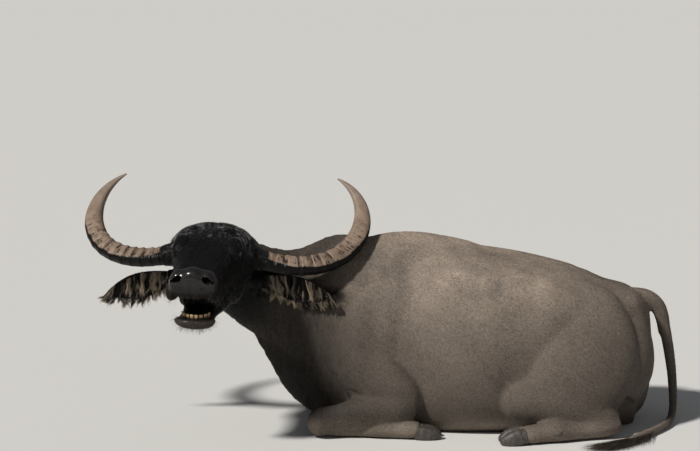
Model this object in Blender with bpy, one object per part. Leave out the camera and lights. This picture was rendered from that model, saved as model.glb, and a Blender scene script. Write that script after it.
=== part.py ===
"""Water buffalo cow, life size, lying on her brisket with her legs folded under her.

Metres, +Z up. While it is built, the body's middle plane is Y = 0, the head end is at -X, the left side
is at -Y and the floor is Z = 0. The head is turned to the left. The finished animal is then moved so that
the origin is the middle of its outline on the floor.
"""

import math

import bmesh
import bpy
import numpy as np
from mathutils import Matrix, Vector

# Driving dimensions of the body
WITHERS_HEIGHT = 0.724
BARREL_HALF_WIDTH = 0.352
GAP = 0.0003

# Where the head is: the top of the poll, and how the face is turned
POLL = Vector((-0.640, -0.139, 0.801))
HEAD_TURN = math.radians(12.7)
HEAD_DIP = math.radians(8.6)
HEAD_ROLL = math.radians(-1.6)
HEAD_LENGTH = 0.505
JAW_GAPE = 0.078
INCISORS = 8

# Horns: length, then the angles that bend each one back and up along its length, then its droop at the root
HORNS = {
    1: (0.750, (-6.8, 84.6, 75.9, 0.6), (3.4, 49.9), 15.8),
    -1: (0.720, (-6.3, 90.7, 68.9, -6.1), (2.3, 45.1), 14.9),
}
HORN_ROOT = (0.017, 0.137, -0.132)
HORN_HALF_WIDTHS = (0.0375, 0.0378, 0.0380, 0.0379, 0.0380, 0.0380, 0.0372, 0.0328, 0.0250, 0.0145, 0.0030)
HORN_DEPTH = 0.88
HORN_RIDGES = 15
HORN_SHOWS_FROM = 0.045

# Ears, eyes, hooves and tail
EARS = {
    1: ((-0.004, 0.112, -0.223), (0.07, 0.95, -0.10)),
    -1: ((-0.030, 0.110, -0.228), (-0.05, 0.95, -0.25)),
}
EAR_LENGTH = 0.331
EAR_SHOWS_FROM = 0.050
EAR_HALF_WIDTH = 0.040
EAR_CURL = 0.020
EAR_LOWER_SHARE = 1.40
LOCK_TAPER = (0.85, 1.0, 0.62, 0.08)
EYE_RADIUS = 0.0195
EYE_AT = (0.176, 0.107, -0.070)

# The upright plane that parts the head from the neck: a point on it, and the way it faces
NAPE_AT = (-0.560, -0.040)
NAPE_TURN = math.radians(60)
FORE_HOOF_X = 0.090
HIND_HOOF_X = 0.472
DOCK_END = (1.066, 0, 0.334)
DOCK_TILT = -9
BRUSH_LOCKS = 15
BRUSH_FROM = 0.030

# How finely the flesh is meshed
BODY_VOXEL = 0.010
HEAD_VOXEL = 0.0045
BODY_TRIANGLES = 3300
HEAD_TRIANGLES = 3950

COLOURS = {
    "hide": ((0.050, 0.044, 0.041, 1), 0.62),
    "face": ((0.018, 0.017, 0.017, 1), 0.45),
    "horn": ((0.230, 0.165, 0.125, 1), 0.50),
    "hoof": ((0.055, 0.048, 0.042, 1), 0.45),
    "eye": ((0.012, 0.009, 0.008, 1), 0.10),
    "hair": ((0.120, 0.085, 0.060, 1), 0.60),
    "teeth": ((0.620, 0.480, 0.280, 1), 0.35),
}


# Small helpers for meshes and curves


def clear_scene():
    for obj in list(bpy.data.objects):
        bpy.data.objects.remove(obj, do_unlink=True)


def material(name):
    found = bpy.data.materials.get(name)
    if found:
        return found
    colour, roughness = COLOURS[name]
    made = bpy.data.materials.new(name)
    made.use_nodes = True
    shader = made.node_tree.nodes["Principled BSDF"]
    shader.inputs["Base Color"].default_value = colour
    shader.inputs["Roughness"].default_value = roughness
    made.diffuse_color = colour
    return made


def unit(vectors):
    return vectors / np.linalg.norm(vectors, axis=-1, keepdims=True)


def through(rows, count):
    """A Catmull-Rom curve through rows of numbers, read at count even steps."""
    rows = np.asarray(rows, float)
    padded = np.vstack([2 * rows[0] - rows[1], rows, 2 * rows[-1] - rows[-2]])
    at = np.linspace(0, len(rows) - 1, count)
    first = np.minimum(at.astype(int), len(rows) - 2)
    t = (at - first)[:, None]
    a, b, c, d = (padded[first + k] for k in range(4))
    return 0.5 * (2 * b + (c - a) * t + (2 * a - 5 * b + 4 * c - d) * t**2 + (3 * b - a - 3 * c + d) * t**3)


def rings_to_mesh(rings):
    """Points and faces of a closed tube from rings of points, with a fan over each end."""
    count, sides = rings.shape[:2]
    points = np.vstack([rings.reshape(-1, 3), rings[0].mean(0), rings[-1].mean(0)])
    near, far = count * sides, count * sides + 1
    faces = []
    for i in range(count - 1):
        for j in range(sides):
            k = (j + 1) % sides
            faces.append((i * sides + j, i * sides + k, (i + 1) * sides + k, (i + 1) * sides + j))
    last = (count - 1) * sides
    for j in range(sides):
        k = (j + 1) % sides
        faces.append((near, k, j))
        faces.append((far, last + j, last + k))
    return points, faces


def ellipse(sides, width, rise, drop, top=2.0, low=2.0):
    """A superellipse as (across, up) pairs, with its own height and squareness above and below."""
    angle = 2 * np.pi * np.arange(sides) / sides
    c, s = np.cos(angle), np.sin(angle)
    power = np.where(s >= 0, 2 / top, 2 / low)
    across = np.sign(c) * np.abs(c) ** power * width
    height = np.sign(s) * np.abs(s) ** power * np.where(s >= 0, rise, drop)
    return across, height


def tube(stations, rings=24, sides=24, upward=(0, 0, 1)):
    """A body lofted through stations of x, y, z, half width, rise, drop, top and low squareness."""
    rows = through(stations, rings)
    centre = rows[:, :3]
    along = unit(np.gradient(centre, axis=0))
    side = unit(np.cross(along, np.asarray(upward, float)))
    up = np.cross(side, along)
    made = []
    for i, row in enumerate(rows):
        width, rise, drop = np.maximum(row[3:6], 0.002)
        across, height = ellipse(sides, width, rise, drop, *np.maximum(row[6:8], 1.2))
        made.append(centre[i] + across[:, None] * side[i] + height[:, None] * up[i])
    return rings_to_mesh(np.array(made))


def limb(points, radii, rings=20, sides=16, squash=1.0):
    """A round limb through points, with a radius at each, squash being its depth over its width."""
    rows = [(*p, r, r * squash, r * squash, 2, 2) for p, r in zip(points, radii)]
    return tube(rows, rings, sides)


def ball(centre, radii, turn=None, sides=20, rings=12):
    """An ellipsoid of three radii, turned by a matrix."""
    lat = np.linspace(-np.pi / 2, np.pi / 2, rings)[1:-1]
    lon = 2 * np.pi * np.arange(sides) / sides
    ring = np.stack(
        [
            np.cos(lat)[:, None] * np.cos(lon),
            np.cos(lat)[:, None] * np.sin(lon),
            np.repeat(np.sin(lat)[:, None], sides, 1),
        ],
        -1,
    )
    points, faces = rings_to_mesh(ring)
    points[-2] = (0, 0, -1)
    points[-1] = (0, 0, 1)
    points = points * np.asarray(radii)
    if turn is not None:
        points = points @ np.array(turn).T
    return points + np.asarray(centre, float), faces


def box(centre, axes, half):
    """A box from its centre, three axes as rows and half sizes."""
    corners = np.array([(x, y, z) for x in (-1, 1) for y in (-1, 1) for z in (-1, 1)], float)
    points = np.asarray(centre) + (corners * half) @ np.asarray(axes)
    faces = [(0, 1, 3, 2), (4, 6, 7, 5), (0, 4, 5, 1), (2, 3, 7, 6), (0, 2, 6, 4), (1, 5, 7, 3)]
    return points, faces


def mirrored(shape):
    points, faces = shape
    return points * (1, -1, 1), faces


def new_object(name, shapes, finish):
    """One object from one or more (points, faces) shapes, its faces pointing out."""
    points, faces, start = [], [], 0
    for p, f in shapes:
        points.append(np.asarray(p, float))
        faces += [tuple(int(v) + start for v in face) for face in f]
        start += len(p)
    mesh = bpy.data.meshes.new(name)
    mesh.from_pydata(np.vstack(points).tolist(), [], faces)
    shell = bmesh.new()
    shell.from_mesh(mesh)
    bmesh.ops.recalc_face_normals(shell, faces=shell.faces)
    shell.to_mesh(mesh)
    shell.free()
    mesh.materials.append(material(finish))
    obj = bpy.data.objects.new(name, mesh)
    bpy.context.scene.collection.objects.link(obj)
    return obj


def apply_modifiers(obj):
    bpy.context.view_layer.update()
    graph = bpy.context.evaluated_depsgraph_get()
    mesh = bpy.data.meshes.new_from_object(obj.evaluated_get(graph), depsgraph=graph)
    obj.modifiers.clear()
    obj.data = mesh


def fused(obj, voxel, smoothing):
    """Overlapping closed shapes made one smooth skin."""
    remesh = obj.modifiers.new("one skin", "REMESH")
    remesh.mode = "VOXEL"
    remesh.voxel_size = voxel
    smooth = obj.modifiers.new("soften", "SMOOTH")
    smooth.factor = 0.5
    smooth.iterations = smoothing
    apply_modifiers(obj)


def thinned(obj, triangles):
    """The same shape with about this many triangles."""
    now = sum(len(p.vertices) - 2 for p in obj.data.polygons)
    fewer = obj.modifiers.new("fewer faces", "DECIMATE")
    fewer.ratio = min(1.0, triangles / now)
    fewer.use_collapse_triangulate = True
    apply_modifiers(obj)


def boolean(obj, shapes, operation, solver="EXACT"):
    """Cuts, keeps or adds closed shapes, each of them (points, faces)."""
    group = bpy.data.collections.new("tools")
    tools = [new_object(f"tool {i}", [shape], "hide") for i, shape in enumerate(shapes)]
    for tool in tools:
        bpy.context.scene.collection.objects.unlink(tool)
        group.objects.link(tool)
    bpy.context.scene.collection.children.link(group)
    change = obj.modifiers.new(operation, "BOOLEAN")
    change.operation = operation
    change.operand_type = "COLLECTION"
    change.collection = group
    change.solver = solver
    apply_modifiers(obj)
    for tool in tools:
        bpy.data.objects.remove(tool, do_unlink=True)
    bpy.data.collections.remove(group)


def keep_largest(obj):
    """Drops loose scraps and sealed hollows, so that one closed surface is left."""
    shell = bmesh.new()
    shell.from_mesh(obj.data)
    bmesh.ops.remove_doubles(shell, verts=shell.verts, dist=1e-6)
    seen, groups = set(), []
    for start in shell.verts:
        if start in seen:
            continue
        seen.add(start)
        group, queue = [], [start]
        while queue:
            vert = queue.pop()
            group.append(vert)
            for edge in vert.link_edges:
                other = edge.other_vert(vert)
                if other not in seen:
                    seen.add(other)
                    queue.append(other)
        groups.append(group)
    groups.sort(key=lambda g: sum(f.calc_area() for f in {f for v in g for f in v.link_faces}))
    bmesh.ops.delete(shell, geom=[v for g in groups[:-1] for v in g], context="VERTS")
    bmesh.ops.triangulate(shell, faces=shell.faces)
    shell.to_mesh(obj.data)
    shell.free()


def split(whole, name, finish, centre, axes, half):
    """Takes the part of whole inside a box as a node of its own, a thin cut away from the rest."""
    part = bpy.data.objects.new(name, whole.data.copy())
    bpy.context.scene.collection.objects.link(part)
    boolean(part, [box(centre, axes, half)], "INTERSECT")
    boolean(whole, [box(centre, axes, np.asarray(half) + GAP)], "DIFFERENCE")
    part.data.materials.clear()
    part.data.materials.append(material(finish))
    keep_largest(part)
    return part


FLOOR = box((0.2, 0, -0.2), np.eye(3), (2, 2, 0.2))


# The head's own axes: t forward along the face, y to the animal's left, z up off the face


def head_axes():
    forward = Vector((-math.sin(HEAD_TURN), -math.cos(HEAD_TURN), 0)) * math.cos(HEAD_DIP)
    forward.z = -math.sin(HEAD_DIP)
    left = Vector((math.cos(HEAD_TURN), -math.sin(HEAD_TURN), 0))
    up = forward.cross(left)
    turn = Matrix.Rotation(HEAD_ROLL, 3, forward)
    return np.array([forward, turn @ left, turn @ up])


HEAD = head_axes()


def on_head(points):
    return np.asarray(points, float) @ HEAD + np.array(POLL)


def head_shape(shape):
    points, faces = shape
    return on_head(points), faces


def both_sides(shape):
    return [head_shape(shape), head_shape(mirrored(shape))]


def head_box(low, high):
    """A box given by two corners in the head's axes."""
    low, high = np.asarray(low, float), np.asarray(high, float)
    return on_head((low + high) / 2), HEAD, (high - low) / 2


# Flesh of the body


def torso():
    """Chest to buttocks: x, top, half width, level of the widest part, depth below it, squareness above."""
    wide = BARREL_HALF_WIDTH
    rows = []
    for x, top, width, middle, deep, roof in (
        (-0.300, 0.420, 0.040, 0.26, 0.12, 2.0),
        (-0.270, 0.520, 0.110, 0.27, 0.22, 2.0),
        (-0.190, 0.620, 0.185, 0.30, 0.30, 1.7),
        (-0.080, 0.695, 0.228, 0.30, 0.33, 1.6),
        (0.057, WITHERS_HEIGHT, 0.260, 0.30, 0.335, 1.6),
        (0.190, 0.704, 0.312, 0.29, 0.325, 1.85),
        (0.320, 0.675, wide * 0.98, 0.28, 0.315, 2.15),
        (0.435, 0.651, wide, 0.28, 0.315, 2.3),
        (0.605, 0.611, 0.330, 0.27, 0.305, 2.7),
        (0.740, 0.577, 0.292, 0.27, 0.305, 3.2),
        (0.840, 0.544, 0.258, 0.28, 0.310, 3.6),
        (0.910, 0.514, 0.216, 0.29, 0.300, 3.6),
        (0.965, 0.480, 0.160, 0.29, 0.260, 3.0),
        (0.998, 0.430, 0.090, 0.29, 0.190, 2.4),
        (1.008, 0.360, 0.035, 0.29, 0.090, 2.2),
    ):
        rows.append((x, 0, middle, width, top - middle, deep, roof, 2.7))
    return tube(rows, 42, 36)


def neck():
    """Withers to the back of the skull, bending to the left."""
    return tube(
        [
            (0.140, 0.000, 0.440, 0.190, 0.262, 0.30, 1.55, 2.2),
            (-0.080, 0.000, 0.450, 0.188, 0.258, 0.32, 1.5, 2.2),
            (-0.240, 0.012, 0.480, 0.152, 0.241, 0.28, 1.55, 2.2),
            (-0.390, 0.014, 0.525, 0.120, 0.142, 0.215, 1.9, 2.2),
            (-0.520, -0.018, 0.585, 0.108, 0.114, 0.175, 2.1, 2.2),
            (-0.605, -0.075, 0.630, 0.104, 0.110, 0.150, 2.1, 2.2),
            (-0.645, -0.150, 0.655, 0.098, 0.095, 0.125, 2.1, 2.2),
        ],
        32,
        28,
    )


def brisket():
    """The fold of skin that hangs between the forelegs and up the throat."""
    return tube(
        [
            (-0.430, 0.000, 0.430, 0.035, 0.10, 0.100, 2, 1.8),
            (-0.330, 0.004, 0.310, 0.055, 0.14, 0.130, 2, 1.8),
            (-0.230, 0.004, 0.180, 0.085, 0.14, 0.140, 2, 1.9),
            (-0.080, 0.000, 0.120, 0.110, 0.12, 0.140, 2, 2.2),
            (0.080, 0.000, 0.110, 0.080, 0.10, 0.140, 2, 2.2),
        ],
        16,
        16,
    )


def fore_limb():
    """Left foreleg, folded: shoulder, upper arm, forearm to the knee, then the shank back beside it."""
    blade = tube(
        [
            (0.070, -0.080, 0.590, 0.050, 0.110, 0.110, 2, 2),
            (0.020, -0.132, 0.500, 0.070, 0.150, 0.150, 2, 2),
            (-0.050, -0.160, 0.380, 0.082, 0.160, 0.150, 2, 2),
            (-0.120, -0.176, 0.290, 0.082, 0.140, 0.100, 2, 2),
            (-0.165, -0.180, 0.210, 0.055, 0.090, 0.060, 2, 2),
        ],
        16,
        18,
        (1, 0, 0.4),
    )
    arm = tube(
        [
            (-0.150, -0.200, 0.270, 0.070, 0.080, 0.080, 2, 2),
            (-0.080, -0.225, 0.220, 0.080, 0.105, 0.110, 2, 2),
            (0.000, -0.245, 0.175, 0.078, 0.100, 0.110, 2, 2),
            (0.070, -0.252, 0.150, 0.060, 0.070, 0.090, 2, 2),
            (0.105, -0.250, 0.140, 0.034, 0.035, 0.040, 2, 2),
        ],
        16,
        18,
    )
    forearm = limb(
        [
            (0.085, -0.255, 0.120),
            (0.010, -0.265, 0.112),
            (-0.110, -0.272, 0.096),
            (-0.210, -0.272, 0.078),
            (-0.262, -0.268, 0.066),
            (-0.297, -0.258, 0.050),
        ],
        [0.050, 0.070, 0.061, 0.046, 0.052, 0.034],
    )
    shank = tube(
        [
            (-0.290, -0.255, 0.046, 0.037, 0.037, 0.037, 2, 2),
            (-0.215, -0.252, 0.036, 0.035, 0.034, 0.034, 2, 2),
            (-0.120, -0.262, 0.033, 0.032, 0.031, 0.031, 2, 2),
            (-0.060, -0.274, 0.036, 0.042, 0.040, 0.036, 2, 2),
            (-0.025, -0.281, 0.038, 0.045, 0.044, 0.038, 2, 2),
            (0.020, -0.289, 0.033, 0.042, 0.036, 0.034, 2, 2),
            (0.070, -0.296, 0.034, 0.047, 0.032, 0.034, 2.4, 2.4),
            (0.150, -0.300, 0.034, 0.047, 0.030, 0.034, 2.6, 2.6),
        ],
        30,
        20,
    )
    return [blade, arm, forearm, shank]


def hind_limb():
    """Left hind leg, folded: thigh, buttock, gaskin back to the hock, then the shank forward."""
    thigh = tube(
        [
            (0.650, -0.150, 0.520, 0.060, 0.100, 0.090, 2, 2),
            (0.680, -0.190, 0.430, 0.095, 0.200, 0.140, 2, 2),
            (0.670, -0.228, 0.320, 0.125, 0.260, 0.180, 2, 2),
            (0.610, -0.262, 0.220, 0.125, 0.260, 0.180, 2, 2),
            (0.555, -0.284, 0.150, 0.100, 0.220, 0.150, 2, 2),
            (0.540, -0.295, 0.105, 0.055, 0.130, 0.090, 2, 2),
        ],
        20,
        20,
        (1, 0, 0.2),
    )
    buttock = limb(
        [(0.890, -0.115, 0.450), (0.885, -0.135, 0.350), (0.865, -0.165, 0.240), (0.820, -0.190, 0.140)],
        [0.060, 0.105, 0.130, 0.115],
    )
    gaskin = limb(
        [
            (0.430, -0.322, 0.140),
            (0.500, -0.338, 0.140),
            (0.600, -0.348, 0.118),
            (0.710, -0.350, 0.092),
            (0.790, -0.346, 0.072),
            (0.832, -0.340, 0.062),
        ],
        [0.060, 0.078, 0.070, 0.052, 0.046, 0.030],
    )
    shank = tube(
        [
            (0.835, -0.345, 0.052, 0.034, 0.034, 0.034, 2, 2),
            (0.780, -0.362, 0.044, 0.041, 0.040, 0.040, 2, 2),
            (0.690, -0.385, 0.036, 0.034, 0.034, 0.034, 2, 2),
            (0.625, -0.400, 0.037, 0.043, 0.041, 0.037, 2, 2),
            (0.590, -0.408, 0.040, 0.046, 0.046, 0.040, 2, 2),
            (0.545, -0.415, 0.035, 0.042, 0.040, 0.035, 2, 2),
            (0.495, -0.421, 0.034, 0.047, 0.034, 0.034, 2.4, 2.4),
            (0.420, -0.423, 0.034, 0.047, 0.030, 0.034, 2.6, 2.6),
        ],
        30,
        20,
    )
    return [thigh, buttock, gaskin, shank]


def hip_bones():
    """Hook bones at the front of the pelvis and pin bones at its back."""
    hook = ball((0.560, -0.208, 0.530), (0.075, 0.055, 0.045))
    pin = ball((0.895, -0.135, 0.455), (0.055, 0.045, 0.042))
    return [hook, pin, mirrored(hook), mirrored(pin)]


def tail_dock():
    """The thick root of the tail, which is part of the body."""
    line = [(0.890, 0, 0.475), (0.980, 0, 0.462), (1.032, 0, 0.430), (1.055, 0, 0.380), (1.064, 0, 0.320)]
    return limb(line, [0.040, 0.037, 0.032, 0.028, 0.025])


def body_flesh():
    sides = fore_limb() + hind_limb()
    head = [head_shape(skull()), *forehead()]
    shapes = [torso(), neck(), brisket(), tail_dock(), *hip_bones(), *sides, *map(mirrored, sides), *head]
    body = new_object("torso", shapes, "hide")
    fused(body, BODY_VOXEL, 10)
    thinned(body, BODY_TRIANGLES)
    boolean(body, [FLOOR], "DIFFERENCE")
    return body


# Flesh of the head, all in the head's axes


def skull():
    """Poll to muzzle, above the mouth: t, top, bottom, half width, widest level, squareness."""
    rows = []
    for t, top, low, width, level, roof in (
        (-0.085, -0.100, -0.200, 0.070, -0.150, 2.0),
        (-0.050, -0.042, -0.235, 0.118, -0.140, 2.0),
        (0.000, -0.014, -0.250, 0.155, -0.130, 2.2),
        (0.060, -0.010, -0.262, 0.152, -0.125, 2.3),
        (0.120, -0.015, -0.266, 0.136, -0.118, 2.3),
        (0.180, -0.024, -0.258, 0.121, -0.110, 2.4),
        (0.250, -0.036, -0.234, 0.101, -0.105, 2.4),
        (0.320, -0.044, -0.204, 0.086, -0.105, 2.3),
        (0.390, -0.046, -0.168, 0.083, -0.100, 2.3),
        (0.440, -0.044, -0.148, 0.092, -0.098, 2.4),
        (0.475, -0.052, -0.142, 0.096, -0.100, 2.5),
        (0.497, -0.070, -0.134, 0.078, -0.105, 2.4),
        (HEAD_LENGTH, -0.088, -0.120, 0.034, -0.104, 2.0),
    ):
        rows.append((t, 0, level, width, top - level, level - low, roof, 2.3))
    return tube(rows, 40, 32)


def jaw():
    """The lower jaw, dropped open by the gape."""
    rows = []
    for t, top, low, width in (
        (0.040, -0.150, -0.275, 0.060),
        (0.090, -0.160, -0.300, 0.088),
        (0.170, -0.180, -0.304, 0.084),
        (0.250, -0.195, -0.294, 0.072),
        (0.330, -0.148 - JAW_GAPE, -0.276, 0.064),
        (0.400, -0.152 - JAW_GAPE, -0.266, 0.068),
        (0.440, -0.154 - JAW_GAPE, -0.264, 0.074),
        (0.462, -0.160 - JAW_GAPE, -0.260, 0.064),
        (0.474, -0.168 - JAW_GAPE, -0.252, 0.035),
    ):
        level = (top + low) / 2
        rows.append((t, 0, level, width, top - level, level - low, 2.6, 2.4))
    return tube(rows, 30, 24)


def cheeks():
    """The chewing muscle on each side, and the skin that closes the corner of the mouth."""
    muscle = ball((0.100, 0.080, -0.185), (0.125, 0.050, 0.098))
    corner = ball((0.300, 0.058, -0.190), (0.058, 0.024, 0.042))
    return both_sides(muscle) + both_sides(corner)


def brows():
    """Rim of bone above each eye, the lids' mound, and the bone below the eye."""
    rim = ball((0.150, 0.092, -0.050), (0.058, 0.034, 0.024))
    mound = ball((EYE_AT[0], EYE_AT[1] - 0.012, EYE_AT[2]), (0.042, 0.035, 0.034))
    bone = ball((0.215, 0.088, -0.110), (0.070, 0.022, 0.026))
    return both_sides(rim) + both_sides(mound) + both_sides(bone)


def forehead():
    """The two low domes of the forehead, with the shallow groove of the poll between them."""
    return both_sides(ball((0.045, 0.056, -0.082), (0.110, 0.090, 0.066)))


def muzzle():
    """Wings of the nostrils, the nose pad and the upper lip, drawn a little to the right by chewing."""
    wing = ball((0.464, 0.058, -0.067), (0.036, 0.032, 0.029))
    pad = ball((0.478, 0, -0.074), (0.028, 0.056, 0.036))
    lips = [ball((0.430, y, -0.136), (0.070, 0.027, 0.032)) for y in (0.069, -0.080)]
    front = ball((0.482, -0.003, -0.126), (0.024, 0.070, 0.020))
    return both_sides(wing) + [head_shape(shape) for shape in (pad, front, *lips)]


def lower_lip():
    """The broad lower lip and the chin under it."""
    lip = ball((0.436, 0, -0.163 - JAW_GAPE), (0.038, 0.084, 0.017))
    chin = ball((0.412, 0, -0.248), (0.050, 0.064, 0.027))
    return [head_shape(lip), head_shape(chin)]


def incisors():
    """The lower front teeth, fanned round the front of the jaw, each wider at its edge than its root."""
    teeth = []
    for angle in np.radians(np.linspace(-63, 63, INCISORS)):
        out = np.array((math.cos(angle), math.sin(angle), 0))
        axes = np.array([unit(out + (0, 0, 0.35)), np.cross((0, 0, 1), out), (0, 0, 1)])
        centre = np.array((0.392, 0, -0.155 - JAW_GAPE)) + out * (0.052, 0.048, 0)
        points, faces = box(centre, axes, (0.0028, 0.0062, 0.014))
        foot = points[:, 2] < centre[2]
        points[foot, :2] = centre[:2] + (points[foot, :2] - centre[:2]) * 0.7
        teeth.append(head_shape((points, faces)))
    return teeth


def horn_curve(side, count, start=0.0, end=1.0):
    """Points and directions of one horn's middle line, in the head's axes, as for a left horn.

    The horn leaves sideways, drooping a little, and turns back along the head while it rises.
    """
    length, sweeps, rises, drop = HORNS[side]
    fine = 400
    s = np.linspace(0, 1, fine)
    sweep = np.radians(sum(a * s**k for k, a in enumerate(sweeps)))
    rise = np.radians(rises[0] + rises[1] * s)
    droop = math.sin(math.radians(drop)) * np.clip(1 - 2 * s, 0, 1)
    back = np.stack([-np.cos(rise), 0 * s, np.sin(rise)], 1)
    way = np.cos(sweep)[:, None] * (0, 1, 0) + np.sin(sweep)[:, None] * back
    way = unit(way - droop[:, None] * (0, 0, 1))
    steps = np.cumsum((way[1:] + way[:-1]) / 2 * length / (fine - 1), 0)
    line = np.vstack([np.zeros(3), steps]) + HORN_ROOT
    at = np.linspace(start, end, count)
    pick = [np.interp(at, s, values) for values in (*line.T, *way.T)]
    return np.stack(pick[:3], 1), unit(np.stack(pick[3:], 1)), at


def horn_frame(way):
    """Across and face directions at each point: face is the flat front of the horn, across its width."""
    bend = unit(np.cross(way, np.gradient(way, axis=0)) + 1e-9)
    bend = bend * np.sign(bend[:, 2:3] + 1e-9)
    across = unit(np.cross(bend, way))
    return across, bend


def horn_boss():
    """The hairy skin that wraps the root of the horn."""
    line, _, _ = horn_curve(1, 4, 0, 0.10)
    start = [(0.020, 0.040, -0.090), (0.018, 0.095, -0.106)]
    return limb([*start, *map(tuple, line)], [0.072, 0.066, 0.053, 0.043, 0.040, 0.039])


def ear_axes(side):
    """Root of the ear, then along it, up across it and out of its hollow, in the head's axes."""
    root, way = map(np.array, EARS[side])
    along = unit(way)
    face = np.array((0.90, 0.05, -0.22))
    face = unit(face - (face @ along) * along)
    across = np.cross(face, along)
    flip = np.array((1, side, 1))
    return root * flip, along * flip, across * flip, face * flip


def ear_stub(side):
    """The gristly tube that carries the ear, up to where the ear is parted from the head."""
    root, along, _, _ = ear_axes(side)
    points = [tuple(root + along * d) for d in (-0.05, 0.0, 0.03, 0.07)]
    return head_shape(limb(points, [0.036, 0.035, 0.031, 0.029]))


def head_flesh():
    shapes = [head_shape(skull()), head_shape(jaw()), neck()]
    shapes += cheeks() + brows() + forehead() + muzzle() + lower_lip()
    shapes += both_sides(horn_boss()) + [ear_stub(1), ear_stub(-1)]
    head = new_object("head", shapes, "face")
    fused(head, HEAD_VOXEL, 8)
    boolean(head, nostril_cutters() + lid_cutters(), "DIFFERENCE", "MANIFOLD")
    thinned(head, HEAD_TRIANGLES)
    return head


def nostril_cutters():
    """A comma-shaped hole on each side of the nose pad, running back and inward."""
    turn = Matrix.Rotation(math.radians(-28), 3, "X") @ Matrix.Rotation(math.radians(18), 3, "Z")
    hole = ball((0.490, 0.053, -0.068), (0.030, 0.0165, 0.0095), turn)
    slit = ball((0.480, 0.069, -0.076), (0.022, 0.011, 0.0045), turn)
    return both_sides(hole) + both_sides(slit)


def lid_cutters():
    """The almond opening between the lids of each eye."""
    turn = Matrix.Rotation(math.radians(-20), 3, "Y") @ Matrix.Rotation(math.radians(12), 3, "Z")
    return both_sides(ball((EYE_AT[0] + 0.003, EYE_AT[1] + 0.022, EYE_AT[2]), (0.020, 0.020, 0.0085), turn))


# Parting the flesh into nodes


def tilted(degrees):
    """Axes of a box turned about Y, nose down for a positive angle."""
    return np.array(Matrix.Rotation(math.radians(degrees), 3, "Y").transposed())


def head_side(grown):
    """A block that holds all of the head, its back face on the plane of the nape."""
    way = np.array((-math.cos(NAPE_TURN), -math.sin(NAPE_TURN), 0))
    axes = np.array([way, np.cross((0, 0, 1), way), (0, 0, 1)])
    centre = np.array((*NAPE_AT, 0.70)) + (0.5 - grown) * way
    return centre, axes, (0.5, 0.45, 0.33)


def part_body(body):
    """Four legs, then the neck, cut from the torso by thin cuts."""
    axes = tilted(DOCK_TILT)
    below_dock = box(DOCK_END + 0.02 * axes[0] - 0.055 * axes[2], axes, (0.055, 0.06, 0.055))
    cuts = [box(*head_side(GAP)), below_dock]
    for side in (-1, 1):
        cuts.append(box((FORE_HOOF_X + 0.050, side * 0.300, 0.03), np.eye(3), (0.050, 0.055, 0.041)))
        cuts.append(box((HIND_HOOF_X - 0.08, side * 0.445, 0.03), np.eye(3), (0.08, 0.0775, 0.045)))
    boolean(body, cuts, "DIFFERENCE")
    keep_largest(body)
    nodes = []
    for side, word in ((-1, "left"), (1, "right")):
        hind = tilted(20)
        half = np.array((0.30, 0.20, 0.26))
        centre = np.array((0.655, side * (0.185 + half[1]), 0.125))
        nodes.append(split(body, f"hind_leg_{word}", "hide", centre, hind, half))
        fore = tilted(-12)
        half = np.array((0.262, 0.20, 0.25))
        centre = np.array((-0.120, side * (0.175 + half[1]), 0.08))
        nodes.append(split(body, f"fore_leg_{word}", "hide", centre, fore, half))
    axes = tilted(-24)
    half = np.array((0.40, 0.40, 0.55))
    front = np.array((-0.165, 0, 0.45)) - half[0] * axes[0]
    nodes.append(split(body, "neck", "hide", front, axes, half))
    keep_largest(body)
    return [body, *nodes]


def part_head(head):
    """Back of the head, the jaw, and the faces that carry horns and ears."""
    boolean(head, [box(*head_side(0))], "INTERSECT")
    cuts = []
    for side in (1, -1):
        line, way, _ = horn_curve(side, 1, HORN_SHOWS_FROM, HORN_SHOWS_FROM)
        flip = np.array((1, side, 1))
        cuts.append(beyond(line[0] * flip, way[0] * flip, 0.050, 0.030))
        root, along, _, _ = ear_axes(side)
        cuts.append(beyond(root + along * EAR_SHOWS_FROM, along, 0.036, 0.015))
        eye = ball(np.array(EYE_AT) * flip, (EYE_RADIUS + GAP,) * 3, sides=24, rings=14)
        cuts.append(head_shape(eye))
    boolean(head, cuts, "DIFFERENCE")
    jaw_low = head_box((0.075, -0.2, -0.5), (0.60, 0.2, -0.150 - JAW_GAPE * 0.45))
    jaw_node = split(head, "lower_jaw", "face", *jaw_low)
    boolean(jaw_node, incisors(), "UNION")
    keep_largest(jaw_node)
    keep_largest(head)
    return [head, jaw_node]


def beyond(point, way, reach, depth):
    """A block that takes all that lies past a flat face at this point of the head."""
    way = Vector(way).normalized()
    side = way.orthogonal().normalized()
    axes = np.array([way, side, way.cross(side)]) @ HEAD
    centre = on_head(np.asarray(point) + depth * np.array(way))
    return box(centre, axes, (depth, reach, reach))


# Horns, ears, eyes, hooves, teeth and tail


def horn(side, name):
    """Flat-fronted crescent with cross ridges that fade towards the smooth tip."""
    count, sides = 40, 10
    line, way, at = horn_curve(side, count, HORN_SHOWS_FROM, 1.0)
    line[0] += way[0] * GAP
    across, face = horn_frame(way)
    widths = np.interp(at, np.linspace(0, 1, len(HORN_HALF_WIDTHS)), HORN_HALF_WIDTHS)
    rings = []
    for i, width in enumerate(widths):
        ridge = 0.05 * math.sin(2 * math.pi * HORN_RIDGES * at[i] ** 0.85) * max(0.0, 1 - at[i] / 0.72)
        x, y = ellipse(sides, width, width * HORN_DEPTH * 0.9, width * HORN_DEPTH, 2.6, 1.9)
        swell = 1 + ridge * (0.55 + 0.45 * np.sign(y))
        rings.append(line[i] + (x * swell)[:, None] * across[i] + (y * swell)[:, None] * face[i])
    points, faces = rings_to_mesh(np.array(rings))
    return new_object(name, [(on_head(points * (1, side, 1)), faces)], "horn")


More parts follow.
